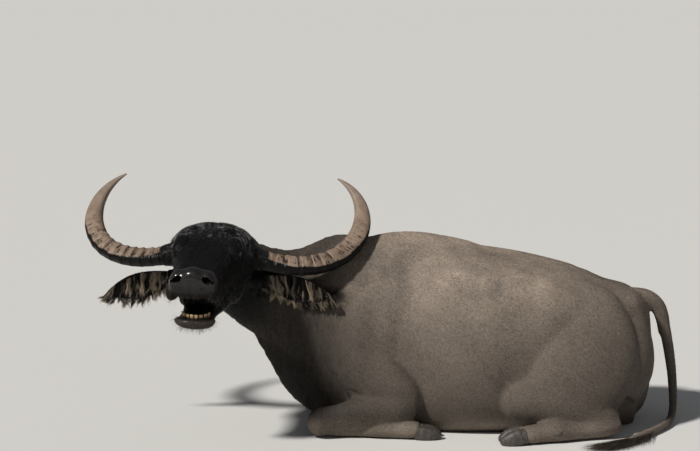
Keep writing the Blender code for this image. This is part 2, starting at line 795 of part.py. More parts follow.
def ear_sheet(side, u, v):
    """Points across the hollow face of the ear: u runs from root to tip, v from lower to upper edge."""
    root, along, across, face = ear_axes(side)
    swell = (0.45 + 0.68 * math.sin(math.pi * u**1.1)) * max(0.0, 1 - u**6) ** 0.5
    half = max(EAR_HALF_WIDTH * swell, 0.003)
    cup = 0.026 * math.sin(math.pi * (0.12 + u * 0.86)) ** 0.8
    reach = np.where(v > 0, 1.0, EAR_LOWER_SHARE) * v * half
    stem = EAR_SHOWS_FROM + GAP
    middle = root + along * (stem + u * (EAR_LENGTH - stem)) - across * (EAR_CURL * u**2)
    return middle + np.outer(reach, across) - np.outer(np.sqrt(1 - v**2) * cup, face)


def ear_leaf(side):
    """The cupped leaf of the ear: two sheets a few millimetres apart, joined round the rim."""
    rows, columns = 11, 8
    v = np.linspace(-1, 1, columns)
    behind = np.outer(0.35 + np.sqrt(1 - v**2), ear_axes(side)[3])
    rings = []
    for u in np.linspace(0, 1, rows):
        inner = ear_sheet(side, u, v)
        outer = inner - behind * (0.011 - 0.006 * u)
        rings.append(np.vstack([inner, outer[::-1]]))
    return rings_to_mesh(np.array(rings))


def lock(root, start, end, length, width, thick, flat):
    """One flat tapered lock of hair, leaving along start and bending to end, its flat side facing flat."""
    share = np.linspace(0, 1, len(LOCK_TAPER))[:, None]
    way = unit((1 - share) * np.asarray(start, float) + share * np.asarray(end, float))
    steps = way * length / (len(LOCK_TAPER) - 1)
    line = np.asarray(root, float) + np.vstack([np.zeros(3), np.cumsum(steps[:-1], 0)])
    side = unit(np.cross(flat, way))
    face = np.cross(way, side)
    rings = []
    for point, across, out, taper in zip(line, side, face, LOCK_TAPER):
        wide, deep = across * width * taper, out * thick * (0.4 + 0.6 * taper)
        rings.append([point + wide, point + deep, point - wide, point - deep])
    return rings_to_mesh(np.array(rings))


def ear_fringe(side):
    """Wet locks hanging from the lower edge and the hollow of the ear, and round its tip."""
    rng = np.random.default_rng(20 + side)
    _, along, across, face = ear_axes(side)
    down = np.array((0.05, 0, -1))
    locks = []
    for count, first, last, v, length, start, end in (
        (11, 0.06, 0.93, -0.92, 0.060, along * 0.5 - across, down + along * 0.10),
        (5, 0.18, 0.80, -0.60, 0.072, along * 0.4 - across + face * 0.4, down + along * 0.15),
        (4, 0.88, 0.98, -0.20, 0.055, along - across * 0.3, along * 0.4 + down),
    ):
        for u in np.linspace(first, last, count):
            root = ear_sheet(side, u, np.array([v]))[0] - face * 0.004
            stray = rng.normal(size=3) * 0.14
            size = length * rng.uniform(0.75, 1.1) * (0.75 + 0.35 * math.sin(math.pi * u))
            wide = rng.uniform(0.0085, 0.0125)
            locks.append(lock(root, start + stray, end + stray, size, wide, 0.0032, face))
    return [head_shape(shape) for shape in locks]


def ear(side, name):
    points, faces = ear_leaf(side)
    obj = new_object(name, [(on_head(points), faces)], "hair")
    return with_locks(obj, ear_fringe(side))


def with_locks(obj, locks):
    """Sinks the locks' roots into the node and makes it one closed surface."""
    boolean(obj, locks, "UNION", "MANIFOLD")
    keep_largest(obj)
    return obj


def eye(side, name):
    shape = ball(np.array(EYE_AT) * (1, side, 1), (EYE_RADIUS,) * 3, sides=16, rings=10)
    return new_object(name, [head_shape(shape)], "eye")


def hoof_claw(name, coronet, toe, bow, sole_up):
    """One claw of a cloven hoof: cut flat behind, flat on its sole, drawn out to a toe that turns in."""
    coronet, toe = np.asarray(coronet, float), np.asarray(toe, float)
    rows = []
    for share, width, rise in (
        (-0.2, 0.0215, 0.028),
        (0.1, 0.0235, 0.032),
        (0.35, 0.0250, 0.034),
        (0.65, 0.0235, 0.028),
        (0.9, 0.0160, 0.016),
        (1, 0.0070, 0.008),
    ):
        x, y, z = coronet + (toe - coronet) * share
        y += bow * math.sin(math.pi * max(share, 0))
        sole = min(rise, 0.024)
        shape = (sole * 0.9, rise, 3.2, 2.2) if sole_up else (rise, sole, 2.2, 3.2)
        rows.append((x, y, z, width, *shape))
    obj = new_object(name, [tube(rows, 8, 10)], "hoof")
    ahead = 1 if toe[0] > coronet[0] else -1
    behind = box((coronet[0] - ahead * 0.1, coronet[1], 0.1), np.eye(3), (0.1, 0.1, 0.15))
    boolean(obj, [FLOOR], "DIFFERENCE")
    boolean(obj, [behind], "DIFFERENCE")
    keep_largest(obj)
    return obj


def hooves():
    """Two claws on each foot, starting just past the end of the hairy leg."""
    for side, word in ((-1, "left"), (1, "right")):
        for place, which in ((-1, "inner"), (1, "outer")):
            y = side * (0.300 + place * 0.026)
            bow = side * place * 0.005
            start = FORE_HOOF_X + GAP
            toe = (start + 0.088, y - bow, 0.014)
            hoof_claw(f"fore_hoof_{word}_{which}", (start, y, 0.032), toe, bow, True)
            y = side * (0.422 + place * 0.026)
            start = HIND_HOOF_X - GAP
            toe = (start - 0.090, y - bow, 0.012)
            hoof_claw(f"hind_hoof_{word}_{which}", (start, y, 0.030), toe, bow, False)


TAIL_LINE = np.array(
    [
        (1.058, 0.000, 0.375),
        (1.080, -0.008, 0.260),
        (1.090, -0.030, 0.160),
        (1.088, -0.070, 0.070),
        (1.070, -0.130, 0.026),
        (1.030, -0.225, 0.018),
        (0.970, -0.320, 0.017),
        (0.905, -0.400, 0.016),
        (0.835, -0.468, 0.014),
        (0.770, -0.512, 0.011),
    ]
)
TAIL_RADII = (0.0245, 0.0225, 0.020, 0.018, 0.017, 0.016, 0.016, 0.019, 0.015, 0.007)


def tail_brush():
    """Flat locks fanned out along the floor from the last quarter of the tail."""
    rng = np.random.default_rng(5)
    stem = through(TAIL_LINE[-4:], 60)
    ways = unit(np.gradient(stem, axis=0))
    locks = []
    for i in range(BRUSH_LOCKS):
        at = int(rng.uniform(12, 57))
        way = ways[at] * (1, 1, 0)
        out = np.array((-way[1], way[0], 0)) * (1 if i % 2 else -1)
        spread = rng.uniform(0.05, 0.38)
        root = stem[at] + out * rng.uniform(0, 0.008)
        root[2] = rng.uniform(0.010, 0.022)
        start = way + out * spread + (0, 0, -0.04)
        end = way + out * spread * rng.uniform(-0.6, 1.1) + (0, 0, -0.06)
        size, wide = rng.uniform(0.11, 0.19), rng.uniform(0.009, 0.014)
        locks.append(lock(root, start, end, size, wide, 0.0055, (0, 0, 1)))
    return locks


def tail():
    """Down from the dock behind the rump, then forward along the floor, its brush a node of its own."""
    obj = new_object("tail", [limb(TAIL_LINE, TAIL_RADII, rings=26, sides=10)], "hide")
    axes = tilted(DOCK_TILT)
    above = box(DOCK_END + (0.1 - GAP) * axes[2], axes, (0.1, 0.1, 0.1))
    with_locks(obj, tail_brush())
    boolean(obj, [FLOOR], "DIFFERENCE")
    boolean(obj, [above], "DIFFERENCE")
    along = unit(TAIL_LINE[-1] - TAIL_LINE[-4]) * (1, 1, 0)
    past = np.array([along, np.cross((0, 0, 1), along), (0, 0, 1)])
    half = np.array((0.20, 0.20, 0.10))
    centre = TAIL_LINE[-4] + along * (BRUSH_FROM + half[0])
    brush = split(obj, "tail_brush", "hide", centre, past, half)
    keep_largest(obj)
    return obj, brush


def centre_on_floor():
    """Moves every node so that the origin is under the middle of the animal's outline."""
    bpy.context.view_layer.update()
    nodes = [o for o in bpy.data.objects if o.type == "MESH"]
    points = np.vstack([[v.co for v in o.data.vertices] for o in nodes])
    low, high = points.min(0), points.max(0)
    shift = Vector((-(low[0] + high[0]) / 2, -(low[1] + high[1]) / 2, -low[2]))
    for node in nodes:
        node.data.transform(Matrix.Translation(shift))
    print("origin in body axes", [round(-v, 5) for v in shift])


def main():
    clear_scene()
    part_body(body_flesh())
    part_head(head_flesh())
    for side, word in ((1, "left"), (-1, "right")):
        horn(side, f"horn_{word}")
        ear(side, f"ear_{word}")
        eye(side, f"eye_{word}")
    hooves()
    tail()
    centre_on_floor()


main()
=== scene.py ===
"""Water buffalo cow lying on her brisket, with her hide, horns, hooves and hair, on a plain floor.

Shapes are worked out in the body's own axes, where the middle plane is Y = 0, the head end is at -X and
the floor is Z = 0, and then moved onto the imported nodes. Metres throughout.
"""

import math

import bpy
import numpy as np
from bpy.props import FloatProperty, FloatVectorProperty, IntProperty, PointerProperty
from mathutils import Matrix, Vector


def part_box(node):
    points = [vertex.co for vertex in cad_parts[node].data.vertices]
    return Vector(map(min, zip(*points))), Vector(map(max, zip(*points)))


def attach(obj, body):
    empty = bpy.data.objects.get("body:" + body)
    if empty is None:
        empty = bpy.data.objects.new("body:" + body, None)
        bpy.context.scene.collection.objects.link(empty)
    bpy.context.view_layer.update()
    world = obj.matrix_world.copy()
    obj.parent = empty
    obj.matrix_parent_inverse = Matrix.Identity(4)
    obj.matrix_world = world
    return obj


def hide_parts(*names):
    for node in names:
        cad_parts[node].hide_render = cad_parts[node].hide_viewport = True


bl_info = {
    "name": "Resting Water Buffalo",
    "version": (1, 0, 0),
    "blender": (4, 5, 0),
    "location": "View3D > Sidebar > Buffalo",
    "description": "Builds a life-size water buffalo lying down, with its hide, horns, hooves and hair",
    "category": "Add Mesh",
}

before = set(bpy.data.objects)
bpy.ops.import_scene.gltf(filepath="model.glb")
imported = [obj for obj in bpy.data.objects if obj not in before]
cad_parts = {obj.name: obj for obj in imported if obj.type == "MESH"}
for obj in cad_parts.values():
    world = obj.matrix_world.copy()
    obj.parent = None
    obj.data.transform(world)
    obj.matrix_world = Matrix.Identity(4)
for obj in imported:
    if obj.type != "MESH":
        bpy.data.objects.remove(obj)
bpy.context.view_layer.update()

# Sizes that place the head, the horns, the ears and the feet

POLL = np.array((-0.640, -0.139, 0.801))
HEAD_TURN, HEAD_DIP, HEAD_ROLL = np.radians((12.7, 8.6, -1.6))
HEAD_LENGTH = 0.505
JAW_GAPE = 0.078
HORNS = {
    1: (0.750, (-6.8, 84.6, 75.9, 0.6), (3.4, 49.9), 15.8),
    -1: (0.720, (-6.3, 90.7, 68.9, -6.1), (2.3, 45.1), 14.9),
}
HORN_ROOT = (0.017, 0.137, -0.132)
HORN_HALF_WIDTHS = (0.0375, 0.0378, 0.0380, 0.0379, 0.0380, 0.0380, 0.0372, 0.0328, 0.0250, 0.0145, 0.0030)
HORN_DEPTH = 0.88
# The hairy skin round a horn's root: two places inside the head, the share of the horn it wraps, its radii
BOSS_START = ((0.020, 0.040, -0.090), (0.018, 0.095, -0.106))
BOSS_SHARE = 0.085
BOSS_RADII = (0.072, 0.066, 0.053, 0.0445, 0.0410, 0.0360)
EARS = {
    1: ((-0.004, 0.112, -0.223), (0.07, 0.95, -0.10)),
    -1: ((-0.030, 0.110, -0.228), (-0.05, 0.95, -0.25)),
}
EAR_LENGTH = 0.331
EAR_STEM = 0.050
EAR_STEM_RADII = ((-0.05, 0.036), (0, 0.035), (0.03, 0.031), (0.07, 0.029))
EAR_HALF_WIDTH = 0.040
EAR_CUP = 0.026
EAR_THICKNESS = 0.0105
EAR_HOLLOW_WAY = np.array((0.90, 0.05, -0.22))
EAR_LOWER_SHARE = 1.40
EAR_CURL = 0.020
EYE_RADIUS = 0.0195
EYE_AT = np.array((0.176, 0.107, -0.070))
FORE_HOOF_X = 0.090
HIND_HOOF_X = 0.472
INCISORS = 8
# Each tooth from root to edge: height, half width, half depth
TOOTH = ((0, 0.0040, 0.003), (0.012, 0.0052, 0.0038), (0.023, 0.0068, 0.003), (0.0290, 0.0064, 0.0014))

# Flesh as tubes. Each row is: on both sides, the way that counts as up, the stations. A station is x, y, z,
# half width, rise, drop, squareness above and below. It is round where only the half width is given.
UP = (0, 0, 1)
BODY_TUBES = {
    "torso": (False, UP, [
        (-0.300, 0, 0.26, 0.040, 0.160, 0.120, 2.0, 2.7),
        (-0.270, 0, 0.27, 0.110, 0.250, 0.220, 2.0, 2.7),
        (-0.190, 0, 0.30, 0.185, 0.320, 0.300, 1.7, 2.7),
        (-0.080, 0, 0.30, 0.228, 0.395, 0.330, 1.6, 2.7),
        (0.057, 0, 0.30, 0.260, 0.424, 0.335, 1.6, 2.7),
        (0.190, 0, 0.29, 0.312, 0.414, 0.325, 1.85, 2.7),
        (0.320, 0, 0.28, 0.345, 0.395, 0.315, 2.15, 2.7),
        (0.435, 0, 0.28, 0.352, 0.371, 0.315, 2.3, 2.7),
        (0.605, 0, 0.27, 0.330, 0.341, 0.305, 2.7, 2.7),
        (0.740, 0, 0.27, 0.292, 0.307, 0.305, 3.2, 2.7),
        (0.840, 0, 0.28, 0.258, 0.264, 0.310, 3.6, 2.7),
        (0.910, 0, 0.29, 0.216, 0.224, 0.300, 3.6, 2.7),
        (0.965, 0, 0.29, 0.160, 0.190, 0.260, 3.0, 2.7),
        (0.998, 0, 0.29, 0.090, 0.140, 0.190, 2.4, 2.7),
        (1.008, 0, 0.29, 0.035, 0.070, 0.090, 2.2, 2.7),
    ]),
    "neck": (False, UP, [
        (0.140, 0.000, 0.440, 0.190, 0.262, 0.300, 1.55, 2.2),
        (-0.080, 0.000, 0.450, 0.188, 0.258, 0.320, 1.5, 2.2),
        (-0.240, 0.012, 0.480, 0.152, 0.241, 0.280, 1.55, 2.2),
        (-0.390, 0.014, 0.525, 0.120, 0.142, 0.215, 1.9, 2.2),
        (-0.520, -0.018, 0.585, 0.108, 0.114, 0.175, 2.1, 2.2),
        (-0.605, -0.075, 0.630, 0.104, 0.110, 0.150, 2.1, 2.2),
        (-0.645, -0.150, 0.655, 0.098, 0.095, 0.125, 2.1, 2.2),
    ]),
    "brisket": (False, UP, [
        (-0.430, 0.000, 0.430, 0.035, 0.100, 0.100, 2, 1.8),
        (-0.330, 0.004, 0.310, 0.055, 0.140, 0.130, 2, 1.8),
        (-0.230, 0.004, 0.180, 0.085, 0.140, 0.140, 2, 1.9),
        (-0.080, 0.000, 0.120, 0.110, 0.120, 0.140, 2, 2.2),
        (0.080, 0.000, 0.110, 0.080, 0.100, 0.140, 2, 2.2),
    ]),
    "dock": (False, UP, [
        (0.890, 0, 0.475, 0.040),
        (0.980, 0, 0.462, 0.037),
        (1.032, 0, 0.430, 0.032),
        (1.055, 0, 0.380, 0.028),
        (1.064, 0, 0.320, 0.025),
    ]),
    "tail": (False, UP, [
        (1.058, 0.000, 0.375, 0.0245),
        (1.080, -0.008, 0.260, 0.0225),
        (1.090, -0.030, 0.160, 0.0200),
        (1.088, -0.070, 0.070, 0.0180),
        (1.070, -0.130, 0.026, 0.0170),
        (1.030, -0.225, 0.018, 0.0160),
        (0.970, -0.320, 0.017, 0.0160),
        (0.905, -0.400, 0.016, 0.0165, 0.0150, 0.0140),
        (0.845, -0.460, 0.014, 0.0100, 0.0090, 0.0090),
    ]),
    "blade": (True, (1, 0, 0.4), [
        (0.070, -0.080, 0.590, 0.050, 0.110, 0.110),
        (0.020, -0.132, 0.500, 0.070, 0.150, 0.150),
        (-0.050, -0.160, 0.380, 0.082, 0.160, 0.150),
        (-0.120, -0.176, 0.290, 0.082, 0.140, 0.100),
        (-0.165, -0.180, 0.210, 0.055, 0.090, 0.060),
    ]),
    "upper arm": (True, UP, [
        (-0.150, -0.200, 0.270, 0.070, 0.080, 0.080),
        (-0.080, -0.225, 0.220, 0.080, 0.105, 0.110),
        (0.000, -0.245, 0.175, 0.078, 0.100, 0.110),
        (0.070, -0.252, 0.150, 0.060, 0.070, 0.090),
        (0.105, -0.250, 0.140, 0.034, 0.035, 0.040),
    ]),
    "forearm": (True, UP, [
        (0.085, -0.255, 0.120, 0.050),
        (0.010, -0.265, 0.112, 0.070),
        (-0.110, -0.272, 0.096, 0.061),
        (-0.210, -0.272, 0.078, 0.046),
        (-0.262, -0.268, 0.066, 0.052),
        (-0.297, -0.258, 0.050, 0.034),
    ]),
    "fore shank": (True, UP, [
        (-0.290, -0.255, 0.046, 0.037),
        (-0.215, -0.252, 0.036, 0.035, 0.034, 0.034),
        (-0.120, -0.262, 0.033, 0.032, 0.031, 0.031),
        (-0.060, -0.274, 0.036, 0.042, 0.040, 0.036),
        (-0.025, -0.281, 0.038, 0.045, 0.044, 0.038),
        (0.020, -0.289, 0.033, 0.042, 0.036, 0.034),
        (0.065, -0.295, 0.034, 0.049, 0.032, 0.034, 2.4, 2.4),
        (0.103, -0.298, 0.034, 0.047, 0.028, 0.031, 2.6, 2.6),
    ]),
    "thigh": (True, (1, 0, 0.2), [
        (0.650, -0.150, 0.520, 0.060, 0.100, 0.090),
        (0.680, -0.190, 0.430, 0.095, 0.200, 0.140),
        (0.670, -0.228, 0.320, 0.125, 0.260, 0.180),
        (0.610, -0.262, 0.220, 0.125, 0.260, 0.180),
        (0.555, -0.284, 0.150, 0.100, 0.220, 0.150),
        (0.540, -0.295, 0.105, 0.055, 0.130, 0.090),
    ]),
    "buttock": (True, UP, [
        (0.890, -0.115, 0.450, 0.060),
        (0.885, -0.135, 0.350, 0.105),
        (0.865, -0.165, 0.240, 0.130),
        (0.820, -0.190, 0.140, 0.115),
    ]),
    "gaskin": (True, UP, [
        (0.430, -0.322, 0.140, 0.060),
        (0.500, -0.338, 0.140, 0.078),
        (0.600, -0.348, 0.118, 0.070),
        (0.710, -0.350, 0.092, 0.052),
        (0.790, -0.346, 0.072, 0.046),
        (0.832, -0.340, 0.062, 0.030),
    ]),
    "hind shank": (True, UP, [
        (0.835, -0.345, 0.052, 0.034),
        (0.780, -0.362, 0.044, 0.041, 0.040, 0.040),
        (0.690, -0.385, 0.036, 0.034),
        (0.625, -0.400, 0.037, 0.043, 0.041, 0.037),
        (0.590, -0.408, 0.040, 0.046, 0.046, 0.040),
        (0.545, -0.415, 0.035, 0.042, 0.040, 0.035),
        (0.498, -0.421, 0.034, 0.049, 0.034, 0.034, 2.4, 2.4),
        (0.461, -0.422, 0.034, 0.047, 0.028, 0.031, 2.6, 2.6),
    ]),
}

# Poll to muzzle above the mouth, then the lower jaw: t, top, bottom, half width, widest level, squareness
SKULL = (
    (-0.085, -0.100, -0.200, 0.070, -0.150, 2.0),
    (-0.050, -0.042, -0.235, 0.118, -0.140, 2.0),
    (0.000, -0.014, -0.250, 0.155, -0.130, 2.2),
    (0.060, -0.010, -0.262, 0.152, -0.125, 2.3),
    (0.120, -0.015, -0.266, 0.136, -0.118, 2.3),
    (0.180, -0.024, -0.258, 0.121, -0.110, 2.4),
    (0.250, -0.036, -0.234, 0.101, -0.105, 2.4),
    (0.320, -0.044, -0.204, 0.086, -0.105, 2.3),
    (0.390, -0.046, -0.168, 0.083, -0.100, 2.3),
    (0.440, -0.044, -0.148, 0.092, -0.098, 2.4),
    (0.475, -0.052, -0.142, 0.096, -0.100, 2.5),
    (0.497, -0.070, -0.134, 0.078, -0.105, 2.4),
    (HEAD_LENGTH, -0.088, -0.120, 0.034, -0.104, 2.0),
)
JAW = (
    (0.040, -0.150, -0.275, 0.060),
    (0.090, -0.160, -0.300, 0.088),
    (0.170, -0.180, -0.304, 0.084),
    (0.250, -0.195, -0.294, 0.072),
    (0.330, -0.148 - JAW_GAPE, -0.276, 0.064),
    (0.400, -0.152 - JAW_GAPE, -0.266, 0.068),
    (0.440, -0.154 - JAW_GAPE, -0.264, 0.074),
    (0.462, -0.160 - JAW_GAPE, -0.260, 0.064),
    (0.474, -0.168 - JAW_GAPE, -0.252, 0.035),
)

# Rounded masses of the head, in its own axes: on both sides, centre, radii
HEAD_BALLS = (
    (True, (0.100, 0.080, -0.185), (0.125, 0.050, 0.098)),
    (True, (0.300, 0.058, -0.190), (0.058, 0.024, 0.042)),
    (True, (0.150, 0.092, -0.050), (0.058, 0.034, 0.024)),
    (True, (0.176, 0.095, -0.070), (0.042, 0.035, 0.034)),
    (True, (0.215, 0.088, -0.110), (0.070, 0.022, 0.026)),
    (True, (0.045, 0.056, -0.082), (0.110, 0.090, 0.066)),
    (True, (0.464, 0.058, -0.069), (0.036, 0.031, 0.028)),
    (True, (0.428, 0.073, -0.112), (0.066, 0.027, 0.042)),
    (False, (0.478, 0, -0.074), (0.028, 0.056, 0.036)),
    (False, (0.460, 0, -0.068), (0.040, 0.076, 0.032)),
    (False, (0.470, 0, -0.092), (0.034, 0.084, 0.034)),
    (False, (0.430, 0.069, -0.136), (0.070, 0.027, 0.032)),
    (False, (0.430, -0.080, -0.136), (0.070, 0.027, 0.032)),
    (False, (0.482, -0.003, -0.126), (0.024, 0.070, 0.020)),
    (False, (0.436, 0, -0.163 - JAW_GAPE), (0.037, 0.080, 0.016)),
    (False, (0.412, 0, -0.248), (0.050, 0.064, 0.027)),
    (False, (0.424, 0, -0.254), (0.046, 0.073, 0.023)),
)
BODY_BALLS = (
    ((0.560, -0.208, 0.530), (0.075, 0.055, 0.045)),
    ((0.895, -0.135, 0.455), (0.055, 0.045, 0.042)),
    ((-0.268, -0.262, 0.056), (0.046, 0.047, 0.047)),
    ((0.480, -0.318, 0.140), (0.085, 0.075, 0.085)),
)


# Arithmetic on arrays of points


def unit(vectors):
    """Vectors brought to length 1."""
    return vectors / np.maximum(np.linalg.norm(vectors, axis=-1, keepdims=True), 1e-12)


def step(low, high, value):
    """0 below low, 1 above high and a smooth cubic between."""
    t = np.clip((value - low) / (high - low), 0, 1)
    return t * t * (3 - 2 * t)


def through(rows, count):
    """A Catmull-Rom curve through rows of numbers, read at count even steps."""
    rows = np.asarray(rows, float)
    padded = np.vstack([2 * rows[0] - rows[1], rows, 2 * rows[-1] - rows[-2]])
    at = np.linspace(0, len(rows) - 1, count)
    first = np.minimum(at.astype(int), len(rows) - 2)
    t = (at - first)[:, None]
    a, b, c, d = (padded[first + k] for k in range(4))
    return 0.5 * (2 * b + (c - a) * t + (2 * a - 5 * b + 4 * c - d) * t**2 + (3 * b - a - 3 * c + d) * t**3)


def hash_noise(cells, seed):
    """A repeatable number from 0 to 1 for each whole-numbered cell: the fraction of a large sine."""
    mixed = cells @ np.array((127.1, 311.7, 74.7)) + seed * 53.9
    return np.modf(np.abs(np.sin(mixed) * 43758.5453))[0]


def value_noise(points, size, seed=0):
    """Smooth noise from -1 to 1: random values on a lattice of cells this size, blended between corners."""
    scaled = points / size
    cell = np.floor(scaled)
    t = scaled - cell
    t = t * t * (3 - 2 * t)
    total = np.zeros(len(points))
    for corner in np.ndindex(2, 2, 2):
        weight = np.prod(np.where(corner, t, 1 - t), 1)
        total += weight * hash_noise(cell + corner, seed)
    return 2 * total - 1


# Meshes from grids


def grid_faces(rows, columns, wrap=True):
    """Quads between neighbouring rows of a grid, closed round each row where wrap is set."""
    i = np.arange(rows - 1)[:, None] * columns
    j = np.arange(columns if wrap else columns - 1)
    k = (j + 1) % columns
    return np.stack([i + j, i + k, i + columns + k, i + columns + j], -1).reshape(-1, 4)


def capped(rings):
    """A closed tube: quads between its rings and a fan of triangles to the middle of each end."""
    rows, columns = rings.shape[:2]
    points = np.vstack([rings.reshape(-1, 3), rings[0].mean(0), rings[-1].mean(0)])
    j = np.arange(columns)
    k = (j + 1) % columns
    last = rows * columns
    near = np.stack([np.full(columns, last), k, j], 1)
    far = np.stack([np.full(columns, last + 1), last - columns + j, last - columns + k], 1)
    return points, [grid_faces(rows, columns), near, far]


def lofted(stations, rings=60, sides=64, upward=UP):
    """Rings of a loft: at each step of a smooth curve, a superellipse |x|^p + |y|^p = 1 across it.

    A station with 4 numbers is a circle, one with 6 an ellipse.
    """
    full = [(*row, *(row[3], row[3], 2, 2)[len(row) - 4 :]) for row in stations]
    rows = through(full, rings)
    centre = rows[:, :3]
    along = unit(np.gradient(centre, axis=0))
    side = unit(np.cross(along, np.asarray(upward, float)))
    up = np.cross(side, along)
    angle = 2 * np.pi * np.arange(sides) / sides
    c, s = np.cos(angle), np.sin(angle)
    width, rise, drop = np.maximum(rows[:, 3:6], 0.002).T[..., None]
    top, low = np.maximum(rows[:, 6:8], 1.2).T[..., None]
    power = np.where(s >= 0, 2 / top, 2 / low)
    across = np.sign(c) * np.abs(c) ** power * width
    height = np.sign(s) * np.abs(s) ** power * np.where(s >= 0, rise, drop)
    return centre[:, None] + across[..., None] * side[:, None] + height[..., None] * up[:, None]


def ball(centre, radii, turn=None, sides=40, rings=24):
    """An ellipsoid: the unit sphere by latitude and longitude, stretched, turned and moved."""
    lat = np.linspace(-np.pi / 2, np.pi / 2, rings)[1:-1, None]
    lon = 2 * np.pi * np.arange(sides) / sides
    ring = np.stack([np.cos(lat) * np.cos(lon), np.cos(lat) * np.sin(lon), np.sin(lat) + 0 * lon], -1)
    points, faces = capped(ring)
    points[-2:] = (0, 0, -1), (0, 0, 1)
    points = points * np.asarray(radii)
    if turn is not None:
        points = points @ turn.T
    return points + np.asarray(centre, float), faces


def turned(x=0, y=0, z=0):
    """Turn matrix for degrees about X, then about Y, then about Z, each applied to what the next gives."""
    a, b, c = np.radians((x, y, z))
    about_x = np.array([(1, 0, 0), (0, np.cos(a), -np.sin(a)), (0, np.sin(a), np.cos(a))])
    about_y = np.array([(np.cos(b), 0, np.sin(b)), (0, 1, 0), (-np.sin(b), 0, np.cos(b))])
    about_z = np.array([(np.cos(c), -np.sin(c), 0), (np.sin(c), np.cos(c), 0), (0, 0, 1)])
    return about_x @ about_y @ about_z


def mirrored(shape):
    """A shape turned over to the other side of the middle plane."""
    return shape[0] * (1, -1, 1), shape[1]


def outward(points, face_sets):
    """The same closed shape with its faces pointing out.

    The volume under the faces, a third of the sum of middle . area vector, is below 0 when they point in.
    """
    volume = 0.0
    for faces in face_sets:
        corners = points[faces]
        area = np.cross(corners[:, 1] - corners[:, 0], corners[:, 2] - corners[:, 0])
        if faces.shape[1] == 4:
            area += np.cross(corners[:, 2] - corners[:, 0], corners[:, 3] - corners[:, 0])
        volume += np.sum((corners.mean(1) - points.mean(0)) * area)
    return points, [faces[:, ::-1] if volume < 0 else faces for faces in face_sets]


def joined(shapes):
    """Several (points, face arrays) as one, with their faces renumbered and pointing out."""
    points, faces, start = [], [], 0
    for shape in shapes:
        shape_points, face_sets = outward(*shape)
        points.append(shape_points)
        faces += [f + start for f in face_sets]
        start += len(shape_points)
    return np.vstack(points), faces


def new_piece(name, points, face_sets):
    """A smooth mesh object at the origin from points and arrays of faces."""
    corners = np.concatenate([f.ravel() for f in face_sets]).astype(np.int32)
    sizes = np.concatenate([np.full(len(f), f.shape[1]) for f in face_sets])
    starts = np.concatenate([[0], np.cumsum(sizes)[:-1]]).astype(np.int32)
    mesh = bpy.data.meshes.new(name)
    mesh.vertices.add(len(points))
    mesh.vertices.foreach_set("co", np.asarray(points, np.float32).ravel())
    mesh.loops.add(len(corners))
    mesh.loops.foreach_set("vertex_index", corners)
    mesh.polygons.add(len(sizes))
    mesh.polygons.foreach_set("loop_start", starts)
    mesh.update(calc_edges=True)
    mesh.shade_smooth()
    obj = bpy.data.objects.new(name, mesh)
    bpy.context.scene.collection.objects.link(obj)
    return obj


def read_points(mesh):
    """Places of a mesh's points."""
    points = np.empty(len(mesh.vertices) * 3, np.float32)
    mesh.vertices.foreach_get("co", points)
    return points.reshape(-1, 3).astype(float)


def read_normals(mesh):
    """Normals at a mesh's points."""
    normals = np.empty(len(mesh.vertices) * 3, np.float32)
    mesh.vertex_normals.foreach_get("vector", normals)
    return normals.reshape(-1, 3).astype(float)


def write_points(mesh, points):
    """Moves a mesh's points to new places."""
    mesh.vertices.foreach_set("co", points.astype(np.float32).ravel())
    mesh.update()


def settle(obj):
    """Applies an object's modifiers."""
    bpy.context.view_layer.update()
    graph = bpy.context.evaluated_depsgraph_get()
    mesh = bpy.data.meshes.new_from_object(obj.evaluated_get(graph), depsgraph=graph)
    obj.modifiers.clear()
    old = obj.data
    obj.data = mesh
    bpy.data.meshes.remove(old)


def add_float(mesh, name, values):
    """Stores a number at each point of a mesh."""
    mesh.attributes.new(name, "FLOAT", "POINT").data.foreach_set("value", values.astype(np.float32))


def add_colour(mesh, name, colours):
    """Stores a colour at each point of a mesh."""
    rgba = np.ones((len(colours), 4), np.float32)
    rgba[:, :3] = colours
    mesh.color_attributes.new(name, "FLOAT_COLOR", "POINT").data.foreach_set("color", rgba.ravel())


def add_group(obj, name, weights):
    """A vertex group from weights, put in by steps of a fiftieth."""
    group = obj.vertex_groups.new(name=name)
    levels = np.round(np.clip(weights, 0, 1) * 50).astype(int)
    for level in np.unique(levels):
        if level:
            group.add(np.flatnonzero(levels == level).tolist(), level / 50, "REPLACE")


# The head's axes and the move from the body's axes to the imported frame


def head_axes():
    """Forward along the face, to the animal's left and up off the face, as rows."""
    forward = np.array(
        (
            -math.sin(HEAD_TURN) * math.cos(HEAD_DIP),
            -math.cos(HEAD_TURN) * math.cos(HEAD_DIP),
            -math.sin(HEAD_DIP),
        )
    )
    level = np.array((math.cos(HEAD_TURN), -math.sin(HEAD_TURN), 0))
    left = level * math.cos(HEAD_ROLL) + np.cross(forward, level) * math.sin(HEAD_ROLL)
    return np.array([forward, left, np.cross(forward, left)])


HEAD = head_axes()


def on_head(points):
    """The head's axes to body axes."""
    return np.asarray(points, float) @ HEAD + POLL


def in_head(points):
    """Body axes to the head's axes."""
    return (points - POLL) @ HEAD.T


EYE_LOW, EYE_HIGH = (np.array(corner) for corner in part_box("eye_left"))
SHIFT = (EYE_LOW + EYE_HIGH) / 2 - on_head(EYE_AT)


def head_shape(shape):
    """A shape given in the head's axes, in body axes."""
    return on_head(shape[0]), shape[1]


def flip(side):
    """Factors that mirror the left side's places for side -1."""
    return np.array((1, side, 1))


# Curves of the horns and sheets of the ears


